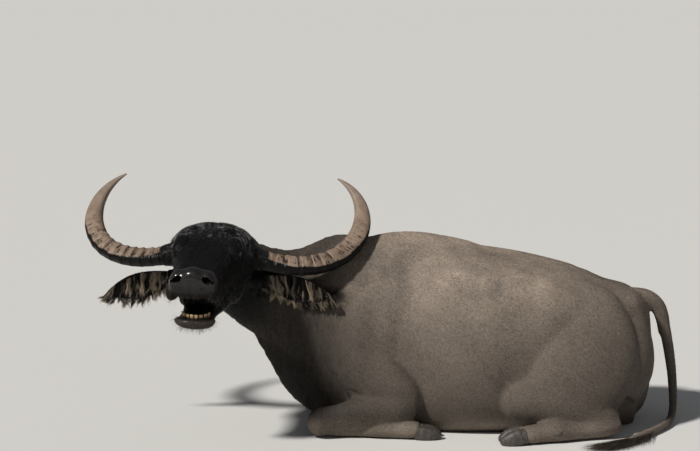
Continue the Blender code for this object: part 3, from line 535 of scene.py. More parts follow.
def horn_curve(side, count, start=0.0, end=1.0):
    """Middle line and way of one horn in the head's axes, as for a left one.

    The way turns back by a cubic in the length, rises with it, and droops a little at first.
    """
    length, sweeps, rises, drop = HORNS[side]
    fine = 400
    s = np.linspace(0, 1, fine)
    sweep = np.radians(sum(a * s**k for k, a in enumerate(sweeps)))
    rise = np.radians(rises[0] + rises[1] * s)
    droop = math.sin(math.radians(drop)) * np.clip(1 - 2 * s, 0, 1)
    back = np.stack([-np.cos(rise), 0 * s, np.sin(rise)], 1)
    way = np.cos(sweep)[:, None] * (0, 1, 0) + np.sin(sweep)[:, None] * back
    way = unit(way - droop[:, None] * (0, 0, 1))
    steps = np.cumsum((way[1:] + way[:-1]) / 2 * length / (fine - 1), 0)
    line = np.vstack([np.zeros(3), steps]) + HORN_ROOT
    at = np.linspace(start, end, count)
    pick = [np.interp(at, s, values) for values in (*line.T, *way.T)]
    return np.stack(pick[:3], 1), unit(np.stack(pick[3:], 1)), at


def ear_axes(side):
    """Root of the ear, then along it, up across it and out of its hollow, in the head's axes."""
    root, way = map(np.array, EARS[side])
    along = unit(way)
    face = unit(EAR_HOLLOW_WAY - (EAR_HOLLOW_WAY @ along) * along)
    across = np.cross(face, along)
    return root * flip(side), along * flip(side), across * flip(side), face * flip(side)


def ear_sheet(side, u, v):
    """Points on the hollow face of the ear for arrays u, root to tip, and v, lower to upper edge.

    The width follows a sine bulge with a round tip, and the cup is a half circle across it.
    """
    root, along, across, face = ear_axes(side)
    swell = (0.45 + 0.68 * np.sin(np.pi * u**1.1)) * np.sqrt(np.maximum(0.0, 1 - u**6))
    half = np.maximum(EAR_HALF_WIDTH * swell, 0.003)
    cup = EAR_CUP * np.sin(np.pi * (0.12 + u * 0.86)) ** 0.8
    reach = np.where(v > 0, 1.0, EAR_LOWER_SHARE) * v * half
    middle = root + along * (EAR_STEM + u * (EAR_LENGTH - EAR_STEM))[..., None]
    middle = middle - across * (EAR_CURL * u**2)[..., None]
    return middle + reach[..., None] * across - (np.sqrt(1 - v**2) * cup)[..., None] * face


# The skin


def ear_flesh(side):
    """Stem and leaf of one ear, the leaf as two sheets a thickness apart, joined round the rim."""
    root, along, _, face = ear_axes(side)
    rows = [(*(root + along * at), radius) for at, radius in EAR_STEM_RADII]
    stem = capped(lofted(rows, 12, 24))
    u, v = np.meshgrid(np.linspace(0, 1, 40), np.linspace(-1, 1, 24), indexing="ij")
    inner = ear_sheet(side, u, v)
    outer = inner - (EAR_THICKNESS * (0.55 + 0.45 * np.sqrt(1 - v**2)))[..., None] * face
    leaf = capped(np.concatenate([inner, outer[:, ::-1]], 1))
    return [head_shape(stem), head_shape(leaf)]


def horn_boss(side):
    """The hairy skin that wraps the root of a horn and thins out along it."""
    line, _, _ = horn_curve(side, 4, 0, BOSS_SHARE)
    rings = lofted([(*place, radius) for place, radius in zip((*BOSS_START, *line), BOSS_RADII)], 24, 40)
    return head_shape(capped(rings * flip(side)))


def flesh():
    """Every mass of the body and the head, in the body's axes, to be fused into one skin."""
    shapes = []
    for both, upward, stations in BODY_TUBES.values():
        shape = capped(lofted(stations, upward=upward))
        shapes += [shape, mirrored(shape)] if both else [shape]
    for centre, radii in BODY_BALLS:
        shape = ball(centre, radii)
        shapes += [shape, mirrored(shape)]
    skull = [(t, 0, lv, w, top - lv, lv - low, roof, 2.3) for t, top, low, w, lv, roof in SKULL]
    jaw = []
    for t, top, low, width in JAW:
        level = (top + low) / 2
        jaw.append((t, 0, level, width, top - level, level - low, 2.6, 2.4))
    shapes += [head_shape(capped(lofted(rows, 90, 64))) for rows in (skull, jaw)]
    for both, centre, radii in HEAD_BALLS:
        shape = ball(centre, radii)
        shapes += [head_shape(shape)] + ([head_shape(mirrored(shape))] if both else [])
    for side in (1, -1):
        shapes.append(horn_boss(side))
        shapes += ear_flesh(side)
    return joined(shapes)


# Ellipsoids cut from the skin on both sides: centre, radii, turn
NOSTRIL_TURN = turned(x=-28) @ turned(z=18)
LID_TURN = turned(y=-20) @ turned(z=12)
OPENINGS = (
    ((0.490, 0.053, -0.070), (0.032, 0.0180, 0.0120), NOSTRIL_TURN),
    ((0.480, 0.069, -0.076), (0.022, 0.0110, 0.0045), NOSTRIL_TURN),
    (EYE_AT + (0.003, 0.022, 0), (0.0215, 0.022, 0.0112), LID_TURN),
)
SOCKET_PLAY = 0.0004


def openings():
    """What is cut from the skin: nostrils, the slits between the lids and the sockets."""
    made = []
    for row in OPENINGS:
        shape = ball(*row)
        made += [head_shape(shape), head_shape(mirrored(shape))]
    for side in (1, -1):
        made.append(head_shape(ball(EYE_AT * flip(side), (EYE_RADIUS + SOCKET_PLAY,) * 3)))
    return made


# Relief of the hide. Rows: on both sides, centre, radii, height of the swelling, or of the hollow below 0
BODY_RELIEF = (
    (True, (0.500, -0.285, 0.455), (0.090, 0.10, 0.070), -0.020),
    (True, (0.590, -0.225, 0.545), (0.050, 0.05, 0.035), 0.010),
    (True, (0.760, -0.240, 0.430), (0.090, 0.08, 0.080), -0.010),
    (True, (0.020, -0.170, 0.560), (0.030, 0.06, 0.130), 0.008),
    (True, (-0.060, -0.215, 0.400), (0.045, 0.08, 0.110), -0.009),
    (True, (0.120, -0.290, 0.300), (0.060, 0.08, 0.150), -0.010),
    (True, (-0.135, -0.240, 0.270), (0.050, 0.06, 0.060), 0.010),
    (True, (0.430, -0.330, 0.210), (0.050, 0.10, 0.090), -0.012),
    (False, (0.300, 0.000, 0.690), (0.500, 0.020, 0.050), 0.006),
    (False, (0.930, 0.000, 0.500), (0.060, 0.035, 0.040), -0.008),
    (True, (0.960, -0.060, 0.430), (0.040, 0.025, 0.090), -0.008),
)
HEAD_RELIEF = (
    (True, (0.250, 0.096, -0.155), (0.090, 0.03, 0.014), 0.005),
    (True, (0.300, 0.085, -0.120), (0.080, 0.04, 0.016), -0.008),
    (True, (0.135, 0.100, -0.036), (0.036, 0.022, 0.015), 0.006),
    (True, (0.060, 0.058, -0.008), (0.048, 0.030, 0.030), 0.006),
    (True, (0.300, 0.050, -0.042), (0.090, 0.014, 0.018), 0.004),
    (False, (0.468, 0.000, -0.044), (0.030, 0.034, 0.022), 0.007),
    (True, (0.478, 0.092, -0.048), (0.045, 0.024, 0.024), -0.009),
    (True, (0.480, 0.098, -0.105), (0.040, 0.022, 0.040), -0.007),
    (True, (0.105, 0.120, -0.090), (0.030, 0.04, 0.030), -0.008),
    (False, (0.040, 0.000, -0.010), (0.075, 0.017, 0.040), -0.008),
    (False, (0.230, 0.000, -0.030), (0.120, 0.045, 0.030), -0.004),
    (True, (0.450, 0.030, -0.050), (0.040, 0.012, 0.020), -0.003),
    (False, (0.500, 0.000, -0.110), (0.020, 0.005, 0.040), -0.005),
    (True, (0.395, 0.088, -0.105), (0.020, 0.02, 0.030), -0.004),
)
# Folds: in the head's axes or not, on both sides, ends, half width of the crease, its depth
FOLDS = (
    (True, True, (0.110, 0.120, -0.050), (0.160, 0.118, -0.036), 0.006, 0.0040),
    (True, True, (0.215, 0.108, -0.092), (0.255, 0.096, -0.120), 0.005, 0.0030),
    (True, True, (0.335, 0.080, -0.200), (0.255, 0.088, -0.225), 0.008, 0.0050),
    (True, True, (0.415, 0.080, -0.075), (0.385, 0.090, -0.110), 0.005, 0.0030),
    (True, True, (0.392, 0.072, -0.066), (0.362, 0.086, -0.100), 0.005, 0.0025),
    (False, True, (-0.420, -0.120, 0.620), (-0.400, -0.130, 0.440), 0.014, 0.0070),
    (False, True, (-0.360, -0.130, 0.620), (-0.330, -0.140, 0.400), 0.016, 0.0080),
    (False, True, (-0.290, -0.150, 0.600), (-0.260, -0.165, 0.380), 0.018, 0.0080),
    (False, True, (-0.470, -0.120, 0.610), (-0.470, -0.110, 0.470), 0.012, 0.0060),
    (False, True, (0.350, -0.340, 0.250), (0.450, -0.350, 0.140), 0.020, 0.0090),
    (False, True, (-0.190, -0.250, 0.180), (-0.120, -0.290, 0.160), 0.014, 0.0080),
    (False, True, (0.800, -0.300, 0.140), (0.700, -0.340, 0.160), 0.016, 0.0080),
)


def swellings(points, table):
    """Sum of soft bells exp(-r^2), r being measured in each row's own radii."""
    total = np.zeros(len(points))
    for both, centre, radii, height in table:
        for side in (1, -1) if both else (1,):
            away = (points - np.array(centre) * flip(side)) / radii
            total += height * np.exp(-np.sum(away**2, 1))
    return total


def creases(points, head_points):
    """A crease with raised banks along each fold: a Mexican-hat curve of the distance from its line."""
    total = np.zeros(len(points))
    for on_the_head, both, start, end, half, depth in FOLDS:
        at = head_points if on_the_head else points
        for side in (1, -1) if both else (1,):
            a, b = np.array(start) * flip(side), np.array(end) * flip(side)
            t = np.clip((at - a) @ (b - a) / ((b - a) @ (b - a)), 0, 1)
            line = a + t[:, None] * (b - a)
            ease = np.sin(np.pi * np.clip(t, 0.03, 0.97)) ** 0.5
            r = np.linalg.norm(at - line, axis=1) / half
            total -= depth * ease * (1 - 0.9 * r**2) * np.exp(-(r**2))
    return total


def wrinkles(points, head_points):
    """Fine skin folds of the neck and round the eyes, from noise squeezed one way."""
    neck = step(-0.10, -0.25, points[:, 0]) * (1 - head_share(points))
    along = value_noise(points * (1, 0.35, 0.22), 0.017, 3)
    along += 0.5 * value_noise(points * (1, 0.4, 0.3), 0.008, 4)
    eye = np.exp(-np.sum(((head_points * (1, 0, 1) - EYE_AT * (1, 0, 1)) / 0.045) ** 2, 1))
    ring = np.sin(np.linalg.norm((head_points - EYE_AT * (1, 0, 1))[:, [0, 2]], axis=1) / 0.0016)
    return 0.0022 * neck * along + 0.0007 * eye * ring * (np.abs(head_points[:, 1]) > 0.06)


def ear_share(points):
    """1 within a few centimetres of the line along either ear, beyond its stem."""
    head = in_head(points)
    total = np.zeros(len(points))
    for side in (1, -1):
        root, along, _, _ = ear_axes(side)
        reach = np.clip((head - root) @ along, 0.06, EAR_LENGTH)
        away = np.linalg.norm(head - root - reach[:, None] * along, axis=1)
        total = np.maximum(total, step(0.085, 0.070, away) * step(0.135, 0.155, np.abs(head[:, 1])))
    return total


# The upright plane of the nape, seen from above: a place on it and the way to the head
NAPE_AT = (-0.560, -0.040)
NAPE_WAY = (-0.5, -0.866)


def head_share(points):
    """1 on the head and ears, 0 on the body, blended across the upright plane of the nape."""
    past = (points[:, :2] - NAPE_AT) @ NAPE_WAY
    core = step(-0.05, 0.05, past) * step(0.26, 0.20, np.abs(in_head(points)[:, 1]))
    return np.maximum(core, ear_share(points))


class Look:
    """Colours of the hide at points in the body's axes, used alike for the skin and for its hair."""

    def __init__(self, paint):
        self.paint = paint

    def masks(self, points):
        """Shares from 0 to 1 of head, nose pad, inside of the mouth, lips, underside and feet."""
        head = in_head(points)
        t, y, z = head.T
        on = head_share(points)
        nose = step(0.438, 0.462, t) * step(0.098, 0.080, np.abs(y)) * step(-0.128, -0.114, z) * on
        inside = step(0.33, 0.36, t) * step(0.068, 0.056, np.abs(y)) * step(-0.150, -0.157, z)
        inside *= step(-0.150 - JAW_GAPE - 0.012, -0.150 - JAW_GAPE, z) * step(0.492, 0.470, t) * on
        lips = step(0.36, 0.42, t) * step(-0.112, -0.130, z) * on * (1 - inside)
        # the lower body, which colours() darkens towards the bottom as painted shade
        low = step(0.62, 0.06, points[:, 2]) * (1 - on)
        feet = step(0.10, 0.03, points[:, 2]) * step(0.19, 0.24, np.abs(points[:, 1])) * (1 - on)
        return on, nose, inside, lips, low, feet

    def colours(self, points):
        """Hide colour with soft mottling, blended into that of face, nose, lips, mouth, belly and feet. Part
        of it is painted light and shade: the pale dust of the back also stands for painted light from above,
        the hide darkens towards the bottom as painted shade, the darker neck and shoulders are in part
        painted shade of the head and horns, and the inside of the mouth is near black as painted shade.
        """
        on, nose, inside, lips, low, feet = self.masks(points)
        keys = ("hide", "dust", "face", "nose", "lip", "mouth", "damp")
        paint = {key: np.array(getattr(self.paint, key)) for key in keys}
        mottle = 0.5 + 0.65 * value_noise(points, 0.18, 1) + 0.40 * value_noise(points, 0.05, 2)
        mottle = np.clip(mottle + 0.30 * value_noise(points, 0.018, 3), -0.2, 1.3)
        # the neck and shoulders darken towards the head: the neck's darker hide, and in part painted shade of
        # the head and horns
        neck = step(0.12, -0.34, points[:, 0])
        # dust on the back, paler towards the top: real dust, and also painted light from above
        dusty = mottle * step(0.35, 0.62, points[:, 2])
        base = paint["hide"] + (paint["dust"] - paint["hide"]) * dusty[:, None]
        for amount, key in (
            # painted shade: the hide darker towards the bottom
            (0.85 * low, "damp"),
            (0.80 * neck, "face"),
            (0.40 * step(0.50, 0.85, points[:, 0]) * (1 - on), "damp"),
            (on, "face"),
            (0.8 * lips, "lip"),
            (0.50 * lips * step(-0.205, -0.235, in_head(points)[:, 2]), "damp"),
            (nose, "nose"),
            # painted shade: the inside of the mouth near black, as the shade of its cavity
            (inside, "mouth"),
            (0.35 * feet, "dust"),
        ):
            base = base + (paint[key] - base) * amount[:, None]
        return np.clip(base, 0, 1)


# Materials


class Sock:
    """An output socket on which Python's arithmetic adds Math nodes."""

    def __init__(self, graph, socket):
        self.graph = graph
        self.socket = socket

    def math(self, operation, *others):
        """A Math node fed by this socket."""
        return self.graph.node("ShaderNodeMath", {"operation": operation}, self, *others)

    def __add__(self, other):
        return self.math("ADD", other)

    def __radd__(self, other):
        return self.math("ADD", other)

    def __sub__(self, other):
        return self.math("SUBTRACT", other)

    def __rsub__(self, other):
        return self.graph.node("ShaderNodeMath", {"operation": "SUBTRACT"}, other, self)

    def __mul__(self, other):
        return self.math("MULTIPLY", other)

    def __rmul__(self, other):
        return self.math("MULTIPLY", other)

    def clamped(self, low, high):
        """0 at low, 1 at high and smooth between."""
        settings = {"interpolation_type": "SMOOTHSTEP"}
        return self.graph.node("ShaderNodeMapRange", settings, self, low, high, 0.0, 1.0)


class Graph:
    """A material's nodes, with one method that adds any of them."""

    def __init__(self, name):
        self.material = bpy.data.materials.new(name)
        self.material.use_nodes = True
        self.tree = self.material.node_tree
        self.shader = self.tree.nodes["Principled BSDF"]

    def node(self, kind, settings=None, *values, out=0, **named):
        """Adds a node, gives it its settings, fills its sockets in order or by name and returns an output."""
        made = self.tree.nodes.new(kind)
        for key, value in (settings or {}).items():
            setattr(made, key, value)
        open_sockets = [s for s in made.inputs if s.enabled]
        for socket, value in [*zip(open_sockets, values), *((made.inputs[k], v) for k, v in named.items())]:
            self.feed(socket, value)
        return Sock(self, made.outputs[out])

    def feed(self, socket, value):
        """Links a socket, or sets its value."""
        if isinstance(value, Sock):
            self.tree.links.new(value.socket, socket)
        elif value is not None:
            socket.default_value = value

    def place(self):
        """Object coordinates."""
        return self.node("ShaderNodeTexCoord", out="Object")

    def scaled(self, vector, by):
        """A vector times another, axis by axis."""
        return self.node("ShaderNodeVectorMath", {"operation": "MULTIPLY"}, vector, by)

    def noise(self, vector, scale, detail=3.0, rough=0.55, out=0):
        """Noise from 0 to 1."""
        values = {"Vector": vector, "Scale": scale, "Detail": detail, "Roughness": rough}
        return self.node("ShaderNodeTexNoise", None, out=out, **values)

    def attribute(self, name, out="Fac"):
        """A value stored at the mesh's points."""
        return self.node("ShaderNodeAttribute", {"attribute_name": name}, out=out)

    def mix(self, amount, a, b, blend="MIX"):
        """Two colours mixed by an amount from 0 to 1."""
        made = self.tree.nodes.new("ShaderNodeMix")
        made.data_type = "RGBA"
        made.blend_type = blend
        for socket, value in zip((made.inputs[0], made.inputs[6], made.inputs[7]), (amount, a, b)):
            if isinstance(value, tuple) and len(value) == 3:
                value = (*value, 1)
            self.feed(socket, value)
        return Sock(self, made.outputs[2])

    def grey(self, value):
        """A number as a colour."""
        return self.node("ShaderNodeCombineColor", None, value, value, value)

    def bump(self, height, strength, distance, under=None):
        """A normal tilted by the slope of a height."""
        values = {"Strength": strength, "Distance": distance, "Height": height, "Normal": under}
        return self.node("ShaderNodeBump", None, **values)

    def set(self, **sockets):
        """Feeds the shader's sockets: Base_Color stands for Base Color."""
        for key, value in sockets.items():
            if isinstance(value, tuple) and len(value) == 3:
                value = (*value, 1)
            self.feed(self.shader.inputs[key.replace("_", " ")], value)
        return self.material


# Fixed colours: what multiplies the hide's in its pale specks, the dark of the horns' cracks and of the
# grooves between their ridges, eyeball and pupil
SPECK_TINT = (1.9, 1.75, 1.6)
CRACK_COLOUR = (0.022, 0.016, 0.012)
EYEBALL_COLOUR = (0.035, 0.025, 0.022)
PUPIL_COLOUR = (0.003, 0.003, 0.003)


def hide_material(name):
    """Short-haired hide: stored colour, paler specks over it, and strokes of hair and skin grain as bump."""
    g = Graph(name)
    here = g.place()
    tint = g.attribute("tint", "Color")
    wet = g.attribute("wet")
    fur = g.attribute("fur")
    broad = g.noise(here, 7.0, 4.0)
    fine = g.noise(here, 160.0, 3.0, 0.6)
    strands = g.noise(g.scaled(here, (1.0, 1.0, 0.45)), 420.0, 2.0, 0.6)
    speck = g.noise(here, 330.0, 1.0).clamped(0.60, 0.72)
    shade = 0.62 + 0.56 * broad + (fine - 0.5) * 1.20 + (strands - 0.5) * 0.80
    base = g.mix(1.0, tint, g.grey(shade), "MULTIPLY")
    base = g.mix(speck * fur * 0.45, base, g.mix(1.0, tint, SPECK_TINT, "MULTIPLY"))
    rough = 0.62 - 0.36 * wet + (fine - 0.5) * 0.16
    grain = g.node("ShaderNodeTexVoronoi", {"feature": "DISTANCE_TO_EDGE"}, Vector=here, Scale=240.0)
    pores = grain.clamped(0.0, 0.12)
    skin = g.bump(pores * (0.4 + wet), 0.4, 0.0007)
    height = strands * fur + fine * 0.6 + broad * 2.0
    relief = g.bump(height, 0.55, 0.0016, skin)
    return g.set(
        Base_Color=base,
        Roughness=rough,
        Normal=relief,
        Specular_IOR_Level=0.08,
        Coat_Weight=wet * (0.15 + 0.85 * pores),
        Coat_Roughness=0.20,
    )


def hair_material(name, rough, gloss):
    """Hair: each tuft's own colour, lighter in streaks, with a gloss from 0 to 1."""
    g = Graph(name)
    here = g.place()
    streak = g.noise(here, 260.0, 2.0)
    shade = 0.70 + 0.62 * streak
    base = g.mix(1.0, g.attribute("tint", "Color"), g.grey(shade), "MULTIPLY")
    return g.set(Base_Color=base, Roughness=rough + (streak - 0.5) * 0.15, Specular_IOR_Level=gloss)


def horn_material(name, paint):
    """Tan ridged front with dark cracks across it, black lower face with a clear edge, pale smooth tip. The
    black is the horn's own dark tone and painted shade together, so the tan front and the black underside are
    a lit and a shaded copy of the horn.
    """
    g = Graph(name)
    here = g.place()
    at = g.node("ShaderNodeUVMap", {"uv_map": "Horn"})
    along = g.attribute("along")
    lower = g.attribute("lower")
    groove = g.attribute("groove")
    rag = g.noise(here, 34.0, 4.0, 0.65)
    flake = g.noise(g.scaled(at, (5.0, 110.0, 1.0)), 1.0, 4.0, 0.65)
    crack = g.noise(g.scaled(at, (6.0, 60.0, 1.0)), 1.4, 3.0, 0.70)
    stain = g.noise(here, 16.0, 5.0, 0.7)
    tan = g.mix(stain.clamped(0.30, 0.70), tuple(paint.horn_shade), tuple(paint.horn))
    tan = g.mix((flake - 0.2).clamped(0.1, 0.6) * 0.5, tan, tuple(0.62 * c for c in paint.horn))
    tip = along.clamped(0.66, 0.98)
    tan = g.mix(tip * 0.55, tan, tuple(paint.horn_tip))
    dark_crack = (crack + (rag - 0.5) * 0.35).clamped(0.55, 0.63) * (1.0 - along.clamped(0.50, 0.80))
    # the tan is darkened along the cracks and in the grooves between the ridges
    tan = g.mix((groove * rag * 1.1 + dark_crack * 0.9).clamped(0.0, 1.0), tan, CRACK_COLOUR)
    # painted shade: the lower and outer faces go black past a clear edge, the horn's own dark tone together
    # with shade
    black = g.mix(flake, tuple(paint.horn_black_and_shade), tuple(1.9 * c for c in paint.horn_black_and_shade))
    edge = (lower + (rag - 0.5) * 0.34 - along.clamped(0.45, 0.95) * 0.50).clamped(0.46, 0.54)
    base = g.mix(edge, tan, black)
    rough = 0.46 + (flake - 0.5) * 0.22 - tip * 0.12 - edge * 0.06
    height = flake * 0.9 + crack * 0.4 - dark_crack * 1.2
    return g.set(
        Base_Color=base,
        Roughness=rough,
        Normal=g.bump(height, 0.7, 0.0016),
        Specular_IOR_Level=0.16,
    )


def hoof_material(name, paint):
    """Dull hoof horn with fine rings, paler where it is scuffed."""
    g = Graph(name)
    here = g.place()
    ring = g.noise(g.scaled(here, (260.0, 30.0, 30.0)), 1.0, 3.0)
    scuff = g.noise(here, 60.0, 4.0, 0.7)
    base = g.mix(scuff.clamped(0.35, 0.75), tuple(paint.hoof), tuple(2.3 * c for c in paint.hoof))
    base = g.mix(ring.clamped(0.50, 0.72) * 0.4, base, tuple(0.5 * c for c in paint.hoof))
    relief = g.bump(ring + scuff * 0.5, 0.5, 0.0009)
    return g.set(Base_Color=base, Roughness=0.44 + scuff * 0.2, Normal=relief)


def eye_material(name, paint):
    """Dark brown iris with a long level pupil in a brown-black eyeball, wet all over."""
    g = Graph(name)
    iris = g.attribute("iris")
    pupil = g.attribute("pupil")
    fleck = g.noise(g.place(), 900.0, 3.0)
    brown = g.mix(fleck, tuple(paint.iris), tuple(2.2 * c for c in paint.iris))
    base = g.mix(iris.clamped(0.9, 1.1), brown, EYEBALL_COLOUR)
    base = g.mix(pupil.clamped(1.1, 0.9), base, PUPIL_COLOUR)
    return g.set(Base_Color=base, Roughness=0.07, Coat_Weight=1.0, Coat_Roughness=0.03)


def tooth_material(name, paint):
    """Stained ivory, browner in patches."""
    g = Graph(name)
    stain = g.noise(g.place(), 140.0, 4.0, 0.7)
    base = g.mix(stain.clamped(0.35, 0.75), tuple(paint.tooth), tuple(0.35 * c for c in paint.tooth))
    return g.set(Base_Color=base, Roughness=0.30 + stain * 0.15, Normal=g.bump(stain, 0.3, 0.0005))


# Hair as tapered tufts: a ridge's rise over its half width, a tuft's patch on the UV map, the lowest hair
TUFT_RIDGE = 0.70
TUFT_PATCH = 0.003
ABOVE_FLOOR = 0.0008


def sample_skin(mesh, count, density, seed):
    """Random places on a mesh, as many on each triangle as its area times the density there."""
    mesh.calc_loop_triangles()
    corners = np.empty(len(mesh.loop_triangles) * 3, np.int32)
    mesh.loop_triangles.foreach_get("vertices", corners)
    corners = corners.reshape(-1, 3)
    points, normals = read_points(mesh), read_normals(mesh)
    a, b, c = (points[corners[:, k]] for k in range(3))
    area = np.linalg.norm(np.cross(b - a, c - a), axis=1) / 2 * density((a + b + c) / 3)
    rng = np.random.default_rng(seed)
    pick = np.searchsorted(np.cumsum(area) / area.sum(), rng.random(count))
    pick = np.minimum(pick, len(corners) - 1)
    u, v = rng.random((2, count, 1))
    over = u + v > 1
    u, v = np.where(over, 1 - u, u), np.where(over, 1 - v, v)
    na, nb, nc = (normals[corners[pick, k]] for k in range(3))
    roots = a[pick] + (b - a)[pick] * u + (c - a)[pick] * v
    return roots, unit(na + (nb - na) * u + (nc - na) * v), rng


def tuft_piece(
    name, roots, ways, normals, length, width, colours, places,
    lift=0.25, droop=0.0, curl=0.0, wave=0.0, rings=3, root=0.62,
):
    """Tufts of hair as three-sided tapered spikes that lie along ways and end in a point.

    With t from 0 to 1 and the length L, a tuft's middle line is root + way L t
    + normal L (lift t - droop t^2) + side L (curl t^2 + wave t sin 9t). Its width shrinks by (1 - t)^0.7,
    its colour grows from the root's share of it, and each tuft has its own small patch on the UV map.
    """
    count = len(roots)
    ways = unit(ways - np.sum(ways * normals, 1, keepdims=True) * normals)
    side = np.cross(ways, normals)
    given = (np.broadcast_to(np.asarray(x, float), count) for x in (length, width, lift, droop, curl, wave))
    length, width, lift, droop, curl, wave = (x[:, None, None] for x in given)
    t = np.linspace(0, 1, rings)[None, :, None]
    line = roots[:, None] + ways[:, None] * length * t
    line = line + normals[:, None] * length * (lift * t - droop * t**2)
    line = line + side[:, None] * length * (curl * t**2 + wave * t * np.sin(9 * t))
    shrink = (1 - t) ** 0.7 * width
    left = line - side[:, None] * shrink
    right = line + side[:, None] * shrink
    ridge = line + normals[:, None] * shrink * TUFT_RIDGE
    body = np.stack([right, left, ridge], 2)[:, :-1]
    points = np.concatenate([body.reshape(count, -1, 3), line[:, -1:]], 1)
    per = points.shape[1]
    quads = grid_faces(rings - 1, 3)
    k = np.arange(3)
    base = (rings - 2) * 3
    tips = np.stack([base + k, base + (k + 1) % 3, np.full(3, per - 1)], 1)
    start = (np.arange(count) * per)[:, None, None]
    faces = [(start + quads).reshape(-1, 4), (start + tips).reshape(-1, 3)]
    points[..., 2] = np.maximum(points[..., 2], ABOVE_FLOOR)
    obj = new_piece(name, points.reshape(-1, 3) + SHIFT, faces)
    shade = np.concatenate([np.repeat(np.linspace(root, 1.08, rings - 1), 3), [1.15]])
    add_colour(obj.data, "tint", (colours[:, None] * shade[None, :, None]).reshape(-1, 3).clip(0, 1))
    spread = np.concatenate([np.tile([0.0, 1.0, 0.5], rings - 1), [0.5]])
    up = np.concatenate([np.repeat(np.linspace(0, 0.8, rings - 1), 3), [1.0]])
    patch = (np.stack([spread, up], 1) - 0.5) * TUFT_PATCH
    uv = (places[:, None] + patch[None]).reshape(-1, 2)
    corner = np.empty(len(obj.data.loops), np.int32)
    obj.data.loops.foreach_get("vertex_index", corner)
    obj.data.uv_layers.new(name="OFBake").data.foreach_set("uv", uv[corner].astype(np.float32).ravel())
    return obj


def unwrapped(points):
    """Place on an unwrap of the body: distance along it, and the angle round a line through its middle."""
    along = (points[:, 0] + 1.1) / 2.25
    angle = np.arctan2(points[:, 1], points[:, 2] - 0.30) / (2 * np.pi) + 0.5
    return np.stack([0.01 + 0.98 * np.clip(along, 0, 1), 0.01 + 0.98 * angle], 1)


def head_unwrapped(points):
    """Place on an unwrap of the head: distance along the face, and the angle round its middle line."""
    t, y, z = in_head(points).T
    angle = np.arctan2(y, z + 0.14) / (2 * np.pi) + 0.5
    return np.stack([0.01 + 0.98 * np.clip((t + 0.2) / 0.75, 0, 1), 0.01 + 0.98 * angle], 1)


def body_lie(points):
    """Way that the coat lies: back and down the sides, along the back on top, down the neck."""
    down = np.where(points[:, 2:3] > 0.12, 0.75, 0.15)
    outward = np.sign(points[:, 1:2]) * 0.15
    return unit(np.hstack([np.full((len(points), 1), 0.8), outward, -down]))


# Whorls of the forehead: distance below the poll, side, and which way each turns
WHORLS = ((0.085, 0.052, 1), (0.080, -0.058, -1))
WHORL_SIZE = 0.045


def face_lie(points):
    """Way that the hair lies on the head: down the face, back over the cheeks and round two whorls."""
    head = in_head(points)
    t, y, z = head.T
    back = step(-0.10, -0.18, z)
    aside = 0.35 * np.sign(y) * step(0.0, 0.06, np.abs(y))
    flow = np.stack([0.75 - 1.4 * back, aside, -0.45 - 0.5 * back], 1)
    for centre_t, centre_y, spin in WHORLS:
        away = np.stack([t - centre_t, y - centre_y, 0 * t], 1)
        near = np.exp(-np.sum(away**2, 1) / WHORL_SIZE**2)[:, None]
        swirl = unit(away) * 0.55 + unit(np.stack([-away[:, 1], away[:, 0], 0 * t], 1)) * spin
        flow = flow * (1 - near) + swirl * near
    return unit(flow) @ HEAD


# Settings that a user may change


def colour_setting(name, rgb, text):
    """A colour that the user may change."""
    how = {"subtype": "COLOR", "size": 3, "min": 0, "max": 1}
    return FloatVectorProperty(name=name, description=text, default=rgb, **how)


def count_setting(name, count, least, most, text):
    """A number of things that the user may change."""
    return IntProperty(name=name, description=text, default=count, min=least, max=most)


def number_setting(name, value, least, most, text, **how):
    """A size or a strength that the user may change, with its unit or subtype."""
    return FloatProperty(name=name, description=text, default=value, min=least, max=most, **how)


class BuffaloPaint(bpy.types.PropertyGroup):
    """Colours of the hide, the horns and the rest."""

    hide: colour_setting("Hide", (0.200, 0.166, 0.137), "Colour of the flanks")
    # Dust also paints light: it makes the top of the back paler
    dust: colour_setting("Dust", (0.335, 0.275, 0.222), "Colour of the dry, dusty back")
    # Damp Hide also serves as painted shade, darkening the lower body towards the bottom
    damp: colour_setting("Damp Hide", (0.088, 0.074, 0.062), "Colour of the underside and legs")
    face: colour_setting("Face", (0.0040, 0.0039, 0.0040), "Colour of the head and the front of the neck")
    nose: colour_setting("Nose Pad", (0.012, 0.010, 0.010), "Colour of the wet nose")
    lip: colour_setting("Lips", (0.014, 0.010, 0.008), "Colour of the lips and chin")
    # Mouth is near black as painted shade of the cavity
    mouth: colour_setting("Mouth", (0.006, 0.004, 0.003), "Colour inside the mouth")
    hair: colour_setting("Ear Hair", (0.640, 0.520, 0.380), "Colour of the pale locks of the ears")
    dark_hair: colour_setting("Dark Hair", (0.010, 0.008, 0.007), "Colour of the dark hair")
    horn: colour_setting("Horn", (0.300, 0.225, 0.170), "Colour of the front of the horns")
    horn_shade: colour_setting("Horn Stain", (0.170, 0.120, 0.088), "Colour of stains on the horns")
    horn_tip: colour_setting("Horn Tip", (0.240, 0.200, 0.165), "Colour of the smooth tips")
    # The horn's dark underside, also painted shade on its lower and outer faces
    horn_black_and_shade: colour_setting("Horn Underside", (0.0022, 0.0020, 0.0020), "Colour under the horns")
    hoof: colour_setting("Hoof", (0.040, 0.034, 0.030), "Colour of the hooves")
    iris: colour_setting("Iris", (0.030, 0.014, 0.008), "Colour of the iris")
    tooth: colour_setting("Teeth", (0.520, 0.350, 0.190), "Colour of the lower front teeth")


